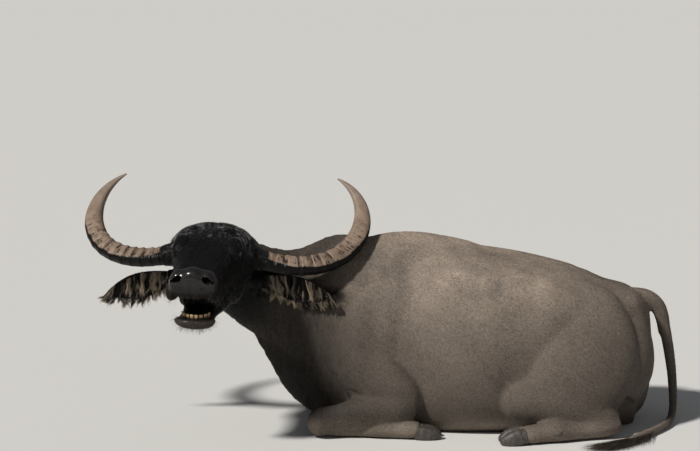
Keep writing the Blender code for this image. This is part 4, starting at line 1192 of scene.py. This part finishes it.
class BuffaloSizes(bpy.types.PropertyGroup):
    """Sizes and counts of the skin and the hair."""

    voxel: number_setting("Skin Grid", 0.004, 0.003, 0.02, "Cell in which the flesh is fused", unit="LENGTH")
    coat_depth: number_setting("Coat Depth", 0.0012, 0, 0.01, "Depth of skin in the solids", unit="LENGTH")
    skin_faces: count_setting("Skin Triangles", 188000, 20000, 199000, "Triangles of the finished skin")
    body_tufts: count_setting("Body Tufts", 84000, 0, 88000, "Short tufts on the body")
    face_tufts: count_setting("Face Tufts", 20000, 0, 22000, "Short tufts on the head")
    ear_locks: count_setting("Ear Locks", 5000, 0, 7000, "Long strands on each ear")
    tail_locks: count_setting("Tail Locks", 1500, 0, 4000, "Long strands of the brush")


class BuffaloStage(bpy.types.PropertyGroup):
    """Floor, light and camera."""

    floor: colour_setting("Floor", (0.66, 0.66, 0.64), "Colour of the floor")
    key: number_setting("Key Light", 3.75, 0, 20, "Strength of the main light")
    spread: number_setting("Key Spread", 0.10, 0, 1, "Width of the main light", subtype="ANGLE")
    fill: number_setting("Fill Light", 18, 0, 5000, "Power of the fill light", subtype="POWER")
    sky: number_setting("Room Light", 0.14, 0, 3, "Strength of the light from all round")
    lens: number_setting("Lens", 169.71, 20, 400, "Focal length on a 36 mm sensor", subtype="DISTANCE_CAMERA")


def paint():
    """The colour settings."""
    return bpy.context.scene.buffalo_paint


def sizes():
    """The size settings."""
    return bpy.context.scene.buffalo_sizes


def finish_piece(obj, finish, slot, *nodes):
    """Gives a piece its material, sets it on the frame and lets it stand for these nodes. The slot is not
    used.
    """
    obj.data.materials.clear()
    obj.data.materials.append(finish)
    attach(obj, "root")
    if nodes:
        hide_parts(*nodes)
    return {"FINISHED"}


def finish_named(name, make, *values):
    """A material made once and shared by the pieces that ask for it."""
    return bpy.data.materials.get(name) or make(name, *values)


# Operators


# Rounding of the skin's joins: which part, and how many rounds
SOFTENING = (("not ears", 9), ("body", 42), ("muzzle", 24))


class BUFFALO_OT_skin(bpy.types.Operator):
    """One skin over the whole animal, from the poll to the end of the tail"""

    bl_idname = "buffalo.skin"
    bl_label = "Skin"

    def execute(self, context):
        size = sizes()
        obj = new_piece("skin", *flesh())
        remesh = obj.modifiers.new("one skin", "REMESH")
        remesh.mode = "VOXEL"
        remesh.voxel_size = size.voxel
        settle(obj)
        self.soften(obj)
        self.carve(obj, size)
        self.cut(obj)
        self.thin(obj, size.skin_faces)
        self.colour(obj)
        nodes = ["head", "lower_jaw", "neck", "torso", "tail"]
        nodes += [f"{part}_{side}" for part in ("fore_leg", "hind_leg", "ear") for side in ("left", "right")]
        return finish_piece(obj, finish_named("short-haired hide", hide_material), "hide", *nodes)

    def soften(self, obj):
        """Rounds the joins of the masses, less on the head and least on the ears."""
        points = read_points(obj.data)
        body = 1 - head_share(points)
        ears = ear_share(points)
        add_group(obj, "body", body)
        muzzle = step(0.27, 0.36, in_head(points)[:, 0]) * (1 - body)
        add_group(obj, "not ears", 1 - ears)
        add_group(obj, "muzzle", muzzle)
        for group, rounds in SOFTENING:
            smooth = obj.modifiers.new("soften", "SMOOTH")
            smooth.factor = 0.5
            smooth.iterations = rounds
            smooth.vertex_group = group
        settle(obj)
        obj.vertex_groups.clear()

    def carve(self, obj, size):
        """Moves the skin in by the coat's depth and out or in by its relief, along its normals."""
        points, normals = read_points(obj.data), read_normals(obj.data)
        head = in_head(points)
        on = head_share(points)
        height = swellings(points, BODY_RELIEF) * (1 - on) + swellings(head, HEAD_RELIEF) * on
        height += creases(points, head) + wrinkles(points, head) - size.coat_depth
        height *= 1 - 0.7 * ear_share(points)
        points += normals * height[:, None]
        points[:, 2] = np.maximum(points[:, 2], 0.0)
        write_points(obj.data, points)

    def cut(self, obj):
        """Takes the nostrils, the slits of the lids and the sockets out of the skin."""
        group = bpy.data.collections.new("openings")
        bpy.context.scene.collection.children.link(group)
        tools = [new_piece(f"opening {i}", *outward(*shape)) for i, shape in enumerate(openings())]
        for tool in tools:
            bpy.context.scene.collection.objects.unlink(tool)
            group.objects.link(tool)
        change = obj.modifiers.new("openings", "BOOLEAN")
        change.operation = "DIFFERENCE"
        change.operand_type = "COLLECTION"
        change.collection = group
        change.solver = "MANIFOLD"
        settle(obj)
        for tool in tools:
            bpy.data.objects.remove(tool, do_unlink=True)
        bpy.data.collections.remove(group)

    def thin(self, obj, faces):
        """Keeps the head's fine faces and makes the body's larger."""
        points = read_points(obj.data)
        keep = head_share(points)
        add_group(obj, "coarse", 1 - 0.97 * keep)
        now = sum(len(p.vertices) - 2 for p in obj.data.polygons)
        fewer = obj.modifiers.new("fewer faces", "DECIMATE")
        fewer.ratio = min(1.0, faces / now)
        fewer.vertex_group = "coarse"
        fewer.vertex_group_factor = 4.0
        fewer.use_collapse_triangulate = True
        settle(obj)
        obj.vertex_groups.clear()
        print("skin faces", now, "to", len(obj.data.polygons))

    def colour(self, obj):
        """Colour, wetness and hairiness at each point of the skin."""
        points = read_points(obj.data)
        look = Look(paint())
        _, nose, inside, *_ = look.masks(points)
        add_colour(obj.data, "tint", look.colours(points))
        rim = step(-0.125, -0.080, in_head(points)[:, 2])
        add_float(obj.data, "wet", np.clip(nose * (0.35 + 0.60 * rim) + 0.8 * inside, 0, 1))
        add_float(obj.data, "fur", np.clip(1 - nose - inside, 0, 1))
        write_points(obj.data, points + SHIFT)
        obj.data.shade_smooth()


# Horns: number of cross ridges, and how far they rise and the grooves sink, as shares of the horn's width
HORN_RIDGES = 17
RIDGE_RISE = 0.100
GROOVE_SINK = 0.050


class BUFFALO_OT_horns(bpy.types.Operator):
    """Two crescent horns with cross ridges on their flat front"""

    bl_idname = "buffalo.horns"
    bl_label = "Horns"

    def execute(self, context):
        finish = finish_named("ridged horn", horn_material, paint())
        for side, word in ((1, "left"), (-1, "right")):
            obj = self.horn(side, f"horn_{word}_outer")
            finish_piece(obj, finish, "horn", f"horn_{word}")
        return {"FINISHED"}

    def horn(self, side, name):
        """Superellipse rings along the horn's curve, swollen by ridges that fade towards the tip.

        A ridge is a rounded saw in the length, its spacing uneven, and is highest on the front face.
        """
        count, sides = 420, 72
        line, way, at = horn_curve(side, count, 0.018, 1.0)
        bend = unit(np.cross(way, np.gradient(way, axis=0)) + 1e-9)
        bend *= np.sign(bend[:, 2:3] + 1e-9)
        across = unit(np.cross(bend, way))
        widths = np.interp(at, np.linspace(0, 1, len(HORN_HALF_WIDTHS)), HORN_HALF_WIDTHS)
        angle = 2 * np.pi * np.arange(sides) / sides
        c, s = np.cos(angle), np.sin(angle)
        power = np.where(s >= 0, 2 / 2.6, 2 / 1.9)
        x = np.sign(c) * np.abs(c) ** power * widths[:, None]
        y = np.sign(s) * np.abs(s) ** power * (np.where(s >= 0, 0.9, 1.0) * HORN_DEPTH) * widths[:, None]
        rng = np.random.default_rng(11 + side)
        uneven = np.interp(at, np.linspace(0, 1, 24), rng.normal(size=24))
        phase = 2 * np.pi * HORN_RIDGES * at**0.85 + 1.1 * uneven
        saw = (0.5 + 0.5 * np.sin(phase + 0.6 * np.sin(phase))) ** 1.6
        fade = step(0.78, 0.30, at) * step(0.0, 0.05, at)
        wobble = np.interp((at[:, None] * 30 + 4 * c) % 30, np.arange(31), rng.normal(size=31))
        front = step(-0.5, 0.6, s)
        swell = RIDGE_RISE * (saw * fade)[:, None] * (0.25 + 0.75 * front) - GROOVE_SINK * fade[:, None]
        fine = 0.006 * np.sin(phase[:, None] * 5 + wobble) * (0.3 + 0.7 * front)
        fine = fine * step(0.95, 0.5, at)[:, None]
        grow = 1 + swell + fine + 0.008 * wobble * fade[:, None]
        rings = line[:, None] + (x * grow)[..., None] * across[:, None]
        rings = rings + (y * grow)[..., None] * bend[:, None]
        points, faces = capped(rings * flip(side))
        obj = new_piece(name, *outward(on_head(points) + SHIFT, faces))
        # painted shade: 'lower' is high on the lower and outer faces and near the root, which the material
        # paints black, as the horn's own dark tone and as shade
        convex = -c * np.sign(across[0, 0] * -1.0)
        lower = 0.73 - 0.50 * s + 0.38 * convex + 0.22 * step(0.26, 0.0, at)[:, None]
        values = {"along": np.broadcast_to(at[:, None], rings.shape[:2]), "lower": lower}
        values["groove"] = (1 - saw)[:, None] ** 3 * fade[:, None] * front
        for key, grid in values.items():
            add_float(obj.data, key, np.concatenate([grid.ravel(), [grid[0].mean(), grid[-1].mean()]]))
        self.wrap(obj, at, sides)
        return obj

    def wrap(self, obj, at, sides):
        """UV map with the angle across and the length up, its seam underneath."""
        corner = np.empty(len(obj.data.loops), np.int32)
        obj.data.loops.foreach_get("vertex_index", corner)
        row, column = np.divmod(np.minimum(corner, len(at) * sides - 1), sides)
        quads = 4 * (len(at) - 1) * sides
        u = column / sides
        u[:quads] = np.where(np.tile([0, 1, 1, 0], quads // 4) * (column[:quads] == 0), 1.0, u[:quads])
        uv = np.stack([u, at[row]], 1)
        obj.data.uv_layers.new(name="Horn").data.foreach_set("uv", uv.astype(np.float32).ravel())


# Eyes: the way they look, the bulge of the clear front, the radius of the iris, the pupil's half axes
GAZE = np.array((0.42, 0.88, 0.10))
BULGE_WIDTH, BULGE_RISE = 0.0085, 0.0012
IRIS_RADIUS = 0.0125
PUPIL_ACROSS, PUPIL_UP = 0.0075, 0.0036
# Stored on the back of the eyeball, where a radius of 1 is the edge
BEYOND = 3.0


class BUFFALO_OT_eyes(bpy.types.Operator):
    """Two dark wet eyeballs with long level pupils"""

    bl_idname = "buffalo.eyes"
    bl_label = "Eyes"

    def execute(self, context):
        finish = finish_named("wet eye", eye_material, paint())
        for side, word in ((1, "left"), (-1, "right")):
            points, faces = ball((0, 0, 0), (EYE_RADIUS,) * 3, sides=64, rings=48)
            gaze = unit(GAZE * flip(side))
            across = unit(np.cross(gaze, (0, 0, 1)))
            up = np.cross(across, gaze)
            front = points @ gaze > 0
            x, y = points @ across, points @ up
            points += np.outer(np.exp(-(x**2 + y**2) / BULGE_WIDTH**2) * front * BULGE_RISE, gaze)
            obj = new_piece(f"eyeball_{word}", *outward(on_head(points + EYE_AT * flip(side)) + SHIFT, faces))
            add_float(obj.data, "iris", np.where(front, np.hypot(x, y) / IRIS_RADIUS, BEYOND))
            add_float(obj.data, "pupil", np.where(front, np.hypot(x / PUPIL_ACROSS, y / PUPIL_UP), BEYOND))
            finish_piece(obj, finish, "eye", f"eye_{word}")
        return {"FINISHED"}


# Claws. Each foot is: name, x, distance from the middle, height, reach in x, height of the tip, sole upwards
FEET = (
    ("fore", FORE_HOOF_X, 0.300, 0.032, 0.088, 0.014, True),
    ("hind", HIND_HOOF_X, 0.422, 0.030, -0.090, 0.012, False),
)
# Distance of a claw from its foot's middle, and how much it bows
CLAW_ASIDE, CLAW_BOW = 0.026, 0.005
# Each station of a claw is: share of its length, half width, rise. A sole is never deeper than SOLE_DEPTH.
CLAW_STATIONS = (
    (-0.05, 0.0225, 0.030),
    (0.1, 0.0235, 0.032),
    (0.35, 0.0250, 0.034),
    (0.65, 0.0235, 0.028),
    (0.9, 0.0160, 0.016),
    (1, 0.0070, 0.008),
)
SOLE_DEPTH = 0.024
DEWCLAW_WIDTHS = (0.011, 0.013, 0.012, 0.008, 0.003)


class BUFFALO_OT_hooves(bpy.types.Operator):
    """Eight claws with growth rings, and the dewclaws behind them"""

    bl_idname = "buffalo.hooves"
    bl_label = "Hooves"

    def execute(self, context):
        finish = finish_named("hoof horn", hoof_material, paint())
        for side, word in ((-1, "left"), (1, "right")):
            for place, which in ((-1, "inner"), (1, "outer")):
                for foot, x, middle, z, reach, tip, sole_up in FEET:
                    y = side * (middle + place * CLAW_ASIDE)
                    bow = side * place * CLAW_BOW
                    name = f"{foot}_hoof_{word}_{which}"
                    shape = self.claw(np.array((x, y, z)), np.array((x + reach, y - bow, tip)), bow, sole_up)
                    obj = new_piece(f"{name}_claw", *outward(shape[0] + SHIFT, shape[1]))
                    finish_piece(obj, finish, "hoof", name)
        small = []
        for side in (-1, 1):
            for across in (-0.021, 0.021):
                fore, hind = side * (0.283 + across), side * (0.404 + across * 1.5)
                bent, spread = side * (0.286 + across), side * (0.410 + across * 1.9)
                small.append(self.dewclaw((-0.020, fore, 0.076), (0.026, bent, 0.080)))
                small.append(self.dewclaw((0.612, hind, 0.040), (0.572, spread, 0.036)))
        obj = new_piece("dewclaws", *joined(small))
        return finish_piece(obj, finish, "hoof")

    def dewclaw(self, start, end):
        """A small blunt cone of horn behind the fetlock: a loft whose width falls towards its end."""
        start, end = np.array(start) + SHIFT, np.array(end) + SHIFT
        rows = [(*(start + (end - start) * k / 4), w, w * 0.9, w * 0.9) for k, w in enumerate(DEWCLAW_WIDTHS)]
        return capped(lofted(rows, 20, 24))

    def claw(self, coronet, toe, bow, sole_up):
        """A loft that narrows to the toe, flat on its sole, with rings as small steps in its size."""
        rows = []
        for share, width, rise in CLAW_STATIONS:
            x, y, z = coronet + (toe - coronet) * share
            sole = min(rise, SOLE_DEPTH)
            y += bow * math.sin(math.pi * max(share, 0))
            shape = (sole * 0.9, rise, 3.2, 2.2) if sole_up else (rise, sole, 2.2, 3.2)
            rows.append((x, y, z, width, *shape))
        rings = lofted(rows, 64, 48)
        u = np.linspace(0, 1, 64)
        grow = 1 + (0.012 * np.sin(u * 46 + 2 * np.sin(u * 9)) * step(1, 0.7, u) - 0.01)[:, None, None]
        middle = rings.mean(1, keepdims=True)
        rings = middle + (rings - middle) * grow
        rings[..., 2] = np.maximum(rings[..., 2], 0.0)
        return capped(rings)


class BUFFALO_OT_teeth(bpy.types.Operator):
    """Eight lower front teeth standing in the open mouth"""

    bl_idname = "buffalo.teeth"
    bl_label = "Teeth"

    def execute(self, context):
        shapes = []
        for angle in np.radians(np.linspace(-63, 63, INCISORS)):
            out = np.array((math.cos(angle), math.sin(angle), 0))
            foot = np.array((0.392, 0, -0.166 - JAW_GAPE)) + out * (0.052, 0.048, 0)
            lean = unit(out * 0.25 + (0, 0, 1))
            rows = [(*(foot + lean * h), w, d, d, 2.8, 2.8) for h, w, d in TOOTH]
            shapes.append(capped(lofted(rows, 14, 20, upward=out)))
        points, faces = joined(shapes)
        obj = new_piece("incisors", on_head(points) + SHIFT, faces)
        return finish_piece(obj, finish_named("stained teeth", tooth_material, paint()), "horn")


# Hair: lengths and half widths in metres, numbers of whiskers and of the locks' clumps
BODY_HAIR, BODY_HAIR_WIDTH = 0.0085, 0.00055
WHISKERS, WHISKER_WIDTH = 420, 0.00038
EAR_CLUMPS, EAR_STRAND_WIDTH = 170, 0.0008
TAIL_CLUMPS, TAIL_STRAND_WIDTH = 26, 0.0011
FACE_HAIR = ("face hair", hair_material, 0.38, 0.55)


class BUFFALO_OT_body_coat(bpy.types.Operator):
    """Short tufts that lie along the body and break its outline"""

    bl_idname = "buffalo.body_coat"
    bl_label = "Body Coat"

    def execute(self, context):
        skin = bpy.data.objects["skin"].data
        count = sizes().body_tufts // 1

        def density(points):
            at = points - SHIFT
            away = 1 - head_share(at)
            return away * step(0.004, 0.02, at[:, 2]) * (0.5 + step(0.15, 0.5, at[:, 2]))

        roots, normals, rng = sample_skin(skin, count, density, 21)
        roots -= SHIFT
        ways = body_lie(roots) + rng.normal(size=(count, 3)) * 0.22
        length = BODY_HAIR * rng.uniform(0.6, 1.3, count) * (1 + 0.5 * step(-0.10, -0.40, roots[:, 0]))
        colours = Look(paint()).colours(roots) * np.exp(rng.normal(size=(count, 1)) * 0.38)
        order = np.argsort(roots[:, 0])
        finish = finish_named("body hair", hair_material, 0.5, 0.3)
        for word, pick in zip(("neck", "chest", "belly", "rump"), np.array_split(order, 4)):
            obj = tuft_piece(
                f"coat_{word}",
                roots[pick],
                ways[pick],
                normals[pick],
                length[pick],
                BODY_HAIR_WIDTH,
                colours[pick],
                unwrapped(roots[pick]),
                lift=0.10,
                droop=0.06,
                curl=rng.normal(size=len(pick)) * 0.12,
                root=0.92,
            )
            finish_piece(obj, finish, "hide")
        return {"FINISHED"}


class BUFFALO_OT_face_coat(bpy.types.Operator):
    """Short hair of the head in its whorls, longer on the crown and cheeks, with whiskers"""

    bl_idname = "buffalo.face_coat"
    bl_label = "Face Coat"

    def execute(self, context):
        skin = bpy.data.objects["skin"].data
        count = sizes().face_tufts // 1
        look = Look(paint())

        def density(points):
            at = points - SHIFT
            on, nose, inside, *_ = look.masks(at)
            head = in_head(at)
            folded = np.stack([head[:, 0], np.abs(head[:, 1]), head[:, 2]], 1)
            lids = np.exp(-np.sum(((folded - EYE_AT) / 0.021) ** 2, 1))
            leaf = ear_share(at)
            return on * (1 - nose) * (1 - inside) * (1 - lids) * (1 - 0.6 * leaf)

        roots, normals, rng = sample_skin(skin, count, density, 31)
        roots -= SHIFT
        head = in_head(roots)
        ways = face_lie(roots) + rng.normal(size=(count, 3)) * 0.20
        crown = step(0.20, 0.05, head[:, 0]) * step(-0.16, -0.06, head[:, 2])
        cheek = step(0.30, 0.12, head[:, 0]) * step(-0.14, -0.22, head[:, 2]) * (1 - ear_share(roots))
        muzzle = step(0.30, 0.42, head[:, 0])
        length = (0.010 + 0.014 * crown + 0.016 * cheek - 0.005 * muzzle) * rng.uniform(0.6, 1.3, count)
        # painted highlight: the crown's hair colour is lifted up to about twelve times, in clumps, as a
        # painted sheen of light on the top of the head
        clumped = value_noise(roots, 0.010, 9) + 0.7 * value_noise(roots, 0.028, 10)
        uneven = rng.normal(size=count) * (0.3 + 0.3 * crown) + 1.5 * clumped * (0.3 + crown)
        painted_sheen = np.exp(uneven) * (0.8 + 11.0 * crown)
        colours = look.colours(roots) * painted_sheen[:, None]
        width = 0.0006 + 0.0003 * crown
        coat = tuft_piece(
            "coat_head", roots, ways, normals, length, width, colours, head_unwrapped(roots),
            lift=0.20, droop=0.14, curl=rng.normal(size=count) * 0.16,
        )
        finish_piece(coat, finish_named(*FACE_HAIR), "face")
        self.whiskers(skin)
        return {"FINISHED"}

    def whiskers(self, skin):
        """Long thin single hairs on the chin and lips."""

        def density(points):
            t, _, z = in_head(points - SHIFT).T
            chin = step(0.36, 0.42, t) * step(-0.225, -0.24, z)
            lips = 0.35 * step(0.38, 0.43, t) * step(-0.11, -0.13, z) * step(-0.17, -0.16, z)
            return chin + lips

        roots, normals, rng = sample_skin(skin, WHISKERS, density, 41)
        roots -= SHIFT
        ways = np.array((0.5, 0, -0.7)) @ HEAD + rng.normal(size=(WHISKERS, 3)) * 0.35
        colours = np.array(paint().lip) * rng.uniform(0.8, 5.0, (WHISKERS, 1))
        length = rng.uniform(0.012, 0.034, WHISKERS)
        obj = tuft_piece(
            "whiskers", roots, ways, normals, length, WHISKER_WIDTH, colours, head_unwrapped(roots),
            lift=0.9, droop=0.35, curl=rng.normal(size=WHISKERS) * 0.2, rings=5,
        )
        finish_piece(obj, finish_named(*FACE_HAIR), "face")


class BUFFALO_OT_ear_locks(bpy.types.Operator):
    """Long damp locks that hang from the hollow and the edges of each ear"""

    bl_idname = "buffalo.ear_locks"
    bl_label = "Ear Locks"

    def execute(self, context):
        finish = finish_named("ear strands", hair_material, 0.42, 0.2)
        count = sizes().ear_locks
        for side, word in ((1, "left"), (-1, "right")):
            rng = np.random.default_rng(60 + side)
            _, along, _, face = ear_axes(side)
            clumps = EAR_CLUMPS
            at_u, at_v = rng.uniform(0.0, 0.99, clumps), rng.uniform(-0.95, 0.97, clumps)
            drift = rng.normal(size=(clumps, 3)) * 0.15 + (0, 0, -1)
            drift += along * (0.12 + 0.55 * step(0.75, 1.0, at_u))[:, None]
            rim = ear_sheet(side, at_u, np.full(clumps, -1.0))
            ends = ear_sheet(side, at_u, at_v)
            reach = np.linalg.norm(rim - ends, axis=1) * rng.uniform(0.70, 1.0, clumps)
            reach += rng.uniform(0.012, 0.050, clumps)
            ends = ends + unit(drift) * reach[:, None]
            out = np.sum((rim - ends) * face, 1) + 0.007
            ends += np.maximum(out, 0.0)[:, None] * face
            clump = rng.integers(0, clumps, count)
            u = np.clip(at_u[clump] + rng.normal(size=count) * 0.011, 0.005, 0.995)
            v = np.clip(at_v[clump] + rng.normal(size=count) * 0.09, -0.99, 0.99)
            roots = ear_sheet(side, u, v) - face * 0.001
            ways = ends[clump] + rng.normal(size=(count, 3)) * 0.0020 - roots
            length = np.linalg.norm(ways, axis=1) * rng.uniform(0.75, 1.05, count)
            normals = unit(face + rng.normal(size=(count, 3)) * 0.06)
            middle = np.exp(-(((at_u - 0.45) / 0.35) ** 2))
            pale = (step(0.32, 0.62, rng.random(clumps)) * (0.45 + 0.55 * middle))[clump]
            pale = pale * rng.uniform(0.5, 1.15, count)
            dark, light = np.array(paint().dark_hair), np.array(paint().hair)
            colours = dark + (light - dark) * np.clip(pale, 0, 1)[:, None]
            places = np.stack([0.02 + 0.96 * u, 0.5 + 0.46 * v], 1)
            curl, wave = (rng.normal(size=clumps)[clump] * amount for amount in (0.14, 0.09))
            roots, ways, normals = on_head(roots), ways @ HEAD, normals @ HEAD
            obj = tuft_piece(
                f"ear_locks_{word}", roots, ways, normals, length, EAR_STRAND_WIDTH, colours, places,
                lift=0.16, droop=0.16, curl=curl, wave=wave, rings=7, root=0.45,
            )
            finish_piece(obj, finish, "ear_hair")
        return {"FINISHED"}


class BUFFALO_OT_tail_brush(bpy.types.Operator):
    """The brush of the tail, spread along the floor"""

    bl_idname = "buffalo.tail_brush"
    bl_label = "Tail Brush"

    def execute(self, context):
        count = sizes().tail_locks
        rng = np.random.default_rng(71)
        stem = through([row[:3] for row in BODY_TUBES["tail"][2][-3:]] + [(0.800, -0.495, 0.012)], 80)
        way = unit(np.gradient(stem, axis=0))
        at = (rng.random(count) ** 0.8 * 79).astype(int)
        clump = rng.integers(0, TAIL_CLUMPS, count)
        spread = (rng.normal(size=TAIL_CLUMPS) * 0.20)[clump] + rng.normal(size=count) * 0.05
        out = np.stack([-way[at, 1], way[at, 0], 0 * spread], 1)
        ways = way[at] * (1, 1, 0) + out * spread[:, None]
        roots = stem[at] + out * (rng.uniform(-0.009, 0.009, count))[:, None]
        roots[:, 2] = rng.uniform(0.006, 0.020, count)
        length = np.minimum(rng.uniform(0.08, 0.17, count), 0.19)
        sink = -(roots[:, 2] - 0.004) / length * rng.uniform(0.5, 0.95, count)
        dark, light = np.array(paint().dark_hair), np.array(paint().hair)
        colours = dark + (light - dark) * (0.16 * rng.random((count, 1)))
        places = np.stack([0.02 + 0.9 * at / 80, 0.5 + 0.4 * np.clip(spread, -1, 1)], 1)
        normals = np.tile((0.0, 0.0, 1.0), (count, 1))
        obj = tuft_piece(
            "tail_hair", roots, ways, normals, length, TAIL_STRAND_WIDTH, colours, places,
            lift=sink, curl=(rng.normal(size=TAIL_CLUMPS) * 0.18)[clump], rings=7,
        )
        return finish_piece(obj, finish_named("tail strands", hair_material, 0.5, 0.2), "hide", "tail_brush")


# Camera and lights, in the body's axes
CAMERA_AT = np.array((-1.1912, -12.1243, 2.677))
CAMERA_AIM = np.array((-0.1583, -0.3174, 0.800))
LIGHT_AIM = np.array((-0.1, -0.1, 0.45))
KEY_AT, KEY_COLOUR = (-4.3, -3.4, 5.8), (1.0, 0.965, 0.92)
FILL_AT, FILL_COLOUR = (2.5, -6.0, 2.2), (0.93, 0.96, 1.0)
FILL_SIZE = 3.5
ROOM_COLOUR = (0.93, 0.95, 1.0, 1)
FLOOR_CORNERS = np.array([(-40, -20, 0), (40, -20, 0), (40, 80, 0), (-40, 80, 0)], float)


class BUFFALO_OT_stage(bpy.types.Operator):
    """Plain pale floor, soft light and the camera"""

    bl_idname = "buffalo.stage"
    bl_label = "Stage"

    def execute(self, context):
        stage = context.scene.buffalo_stage
        floor = new_piece("floor", FLOOR_CORNERS + (0, 0, -0.0005), [np.array([(0, 1, 2, 3)])])
        g = Graph("floor")
        g.set(Base_Color=tuple(stage.floor), Roughness=0.85, Specular_IOR_Level=0.2)
        floor.data.materials.append(g.material)
        world = bpy.data.worlds.new("room")
        world.use_nodes = True
        back = world.node_tree.nodes["Background"]
        back.inputs["Color"].default_value = ROOM_COLOUR
        back.inputs["Strength"].default_value = stage.sky
        context.scene.world = world
        context.scene.view_settings.view_transform = "Standard"
        key = self.lamp("key", "SUN", KEY_AT, KEY_COLOUR)
        key.energy, key.angle = stage.key, stage.spread
        fill = self.lamp("fill", "AREA", FILL_AT, FILL_COLOUR)
        fill.energy, fill.size = stage.fill, FILL_SIZE
        eye, aim = CAMERA_AT + SHIFT, CAMERA_AIM + SHIFT
        data = bpy.data.cameras.new("camera")
        data.sensor_width, data.lens, data.clip_end = 36, stage.lens, 200
        camera = bpy.data.objects.new("camera", data)
        camera.location = eye
        camera.rotation_euler = Vector(aim - eye).to_track_quat("-Z", "Y").to_euler()
        context.scene.collection.objects.link(camera)
        context.scene.camera = camera
        return {"FINISHED"}

    def lamp(self, name, kind, place, colour):
        """A light at a place, turned to the animal."""
        data = bpy.data.lights.new(name, kind)
        data.color = colour
        lamp = bpy.data.objects.new(name, data)
        lamp.location = np.array(place) + SHIFT
        lamp.rotation_euler = Vector(LIGHT_AIM - place).to_track_quat("-Z", "Y").to_euler()
        bpy.context.scene.collection.objects.link(lamp)
        return data


OPERATORS = (
    BUFFALO_OT_skin,
    BUFFALO_OT_horns,
    BUFFALO_OT_eyes,
    BUFFALO_OT_hooves,
    BUFFALO_OT_teeth,
    BUFFALO_OT_body_coat,
    BUFFALO_OT_face_coat,
    BUFFALO_OT_ear_locks,
    BUFFALO_OT_tail_brush,
    BUFFALO_OT_stage,
)


class BUFFALO_PT_panel(bpy.types.Panel):
    """Lists the pieces of the animal and their settings"""

    bl_label = "Water Buffalo"
    bl_idname = "BUFFALO_PT_panel"
    bl_space_type = "VIEW_3D"
    bl_region_type = "UI"
    bl_category = "Buffalo"

    def draw(self, context):
        for operator in OPERATORS:
            self.layout.operator(operator.bl_idname)
        for group in (context.scene.buffalo_sizes, context.scene.buffalo_paint, context.scene.buffalo_stage):
            box = self.layout.box()
            for key in group.__annotations__:
                box.prop(group, key)


CLASSES = (BuffaloPaint, BuffaloSizes, BuffaloStage, *OPERATORS, BUFFALO_PT_panel)


def register():
    """Registers the classes and hangs the three groups of settings on the scene."""
    for cls in CLASSES:
        bpy.utils.register_class(cls)
    bpy.types.Scene.buffalo_paint = PointerProperty(type=BuffaloPaint)
    bpy.types.Scene.buffalo_sizes = PointerProperty(type=BuffaloSizes)
    bpy.types.Scene.buffalo_stage = PointerProperty(type=BuffaloStage)


def unregister():
    """Takes the settings and the classes away again, in the opposite order."""
    for key in ("buffalo_paint", "buffalo_sizes", "buffalo_stage"):
        delattr(bpy.types.Scene, key)
    for cls in reversed(CLASSES):
        bpy.utils.unregister_class(cls)


def main():
    """Builds every piece in order."""
    register()
    for operator in OPERATORS:
        family, name = operator.bl_idname.split(".")
        getattr(getattr(bpy.ops, family), name)()


if __name__ == "__main__":
    main()
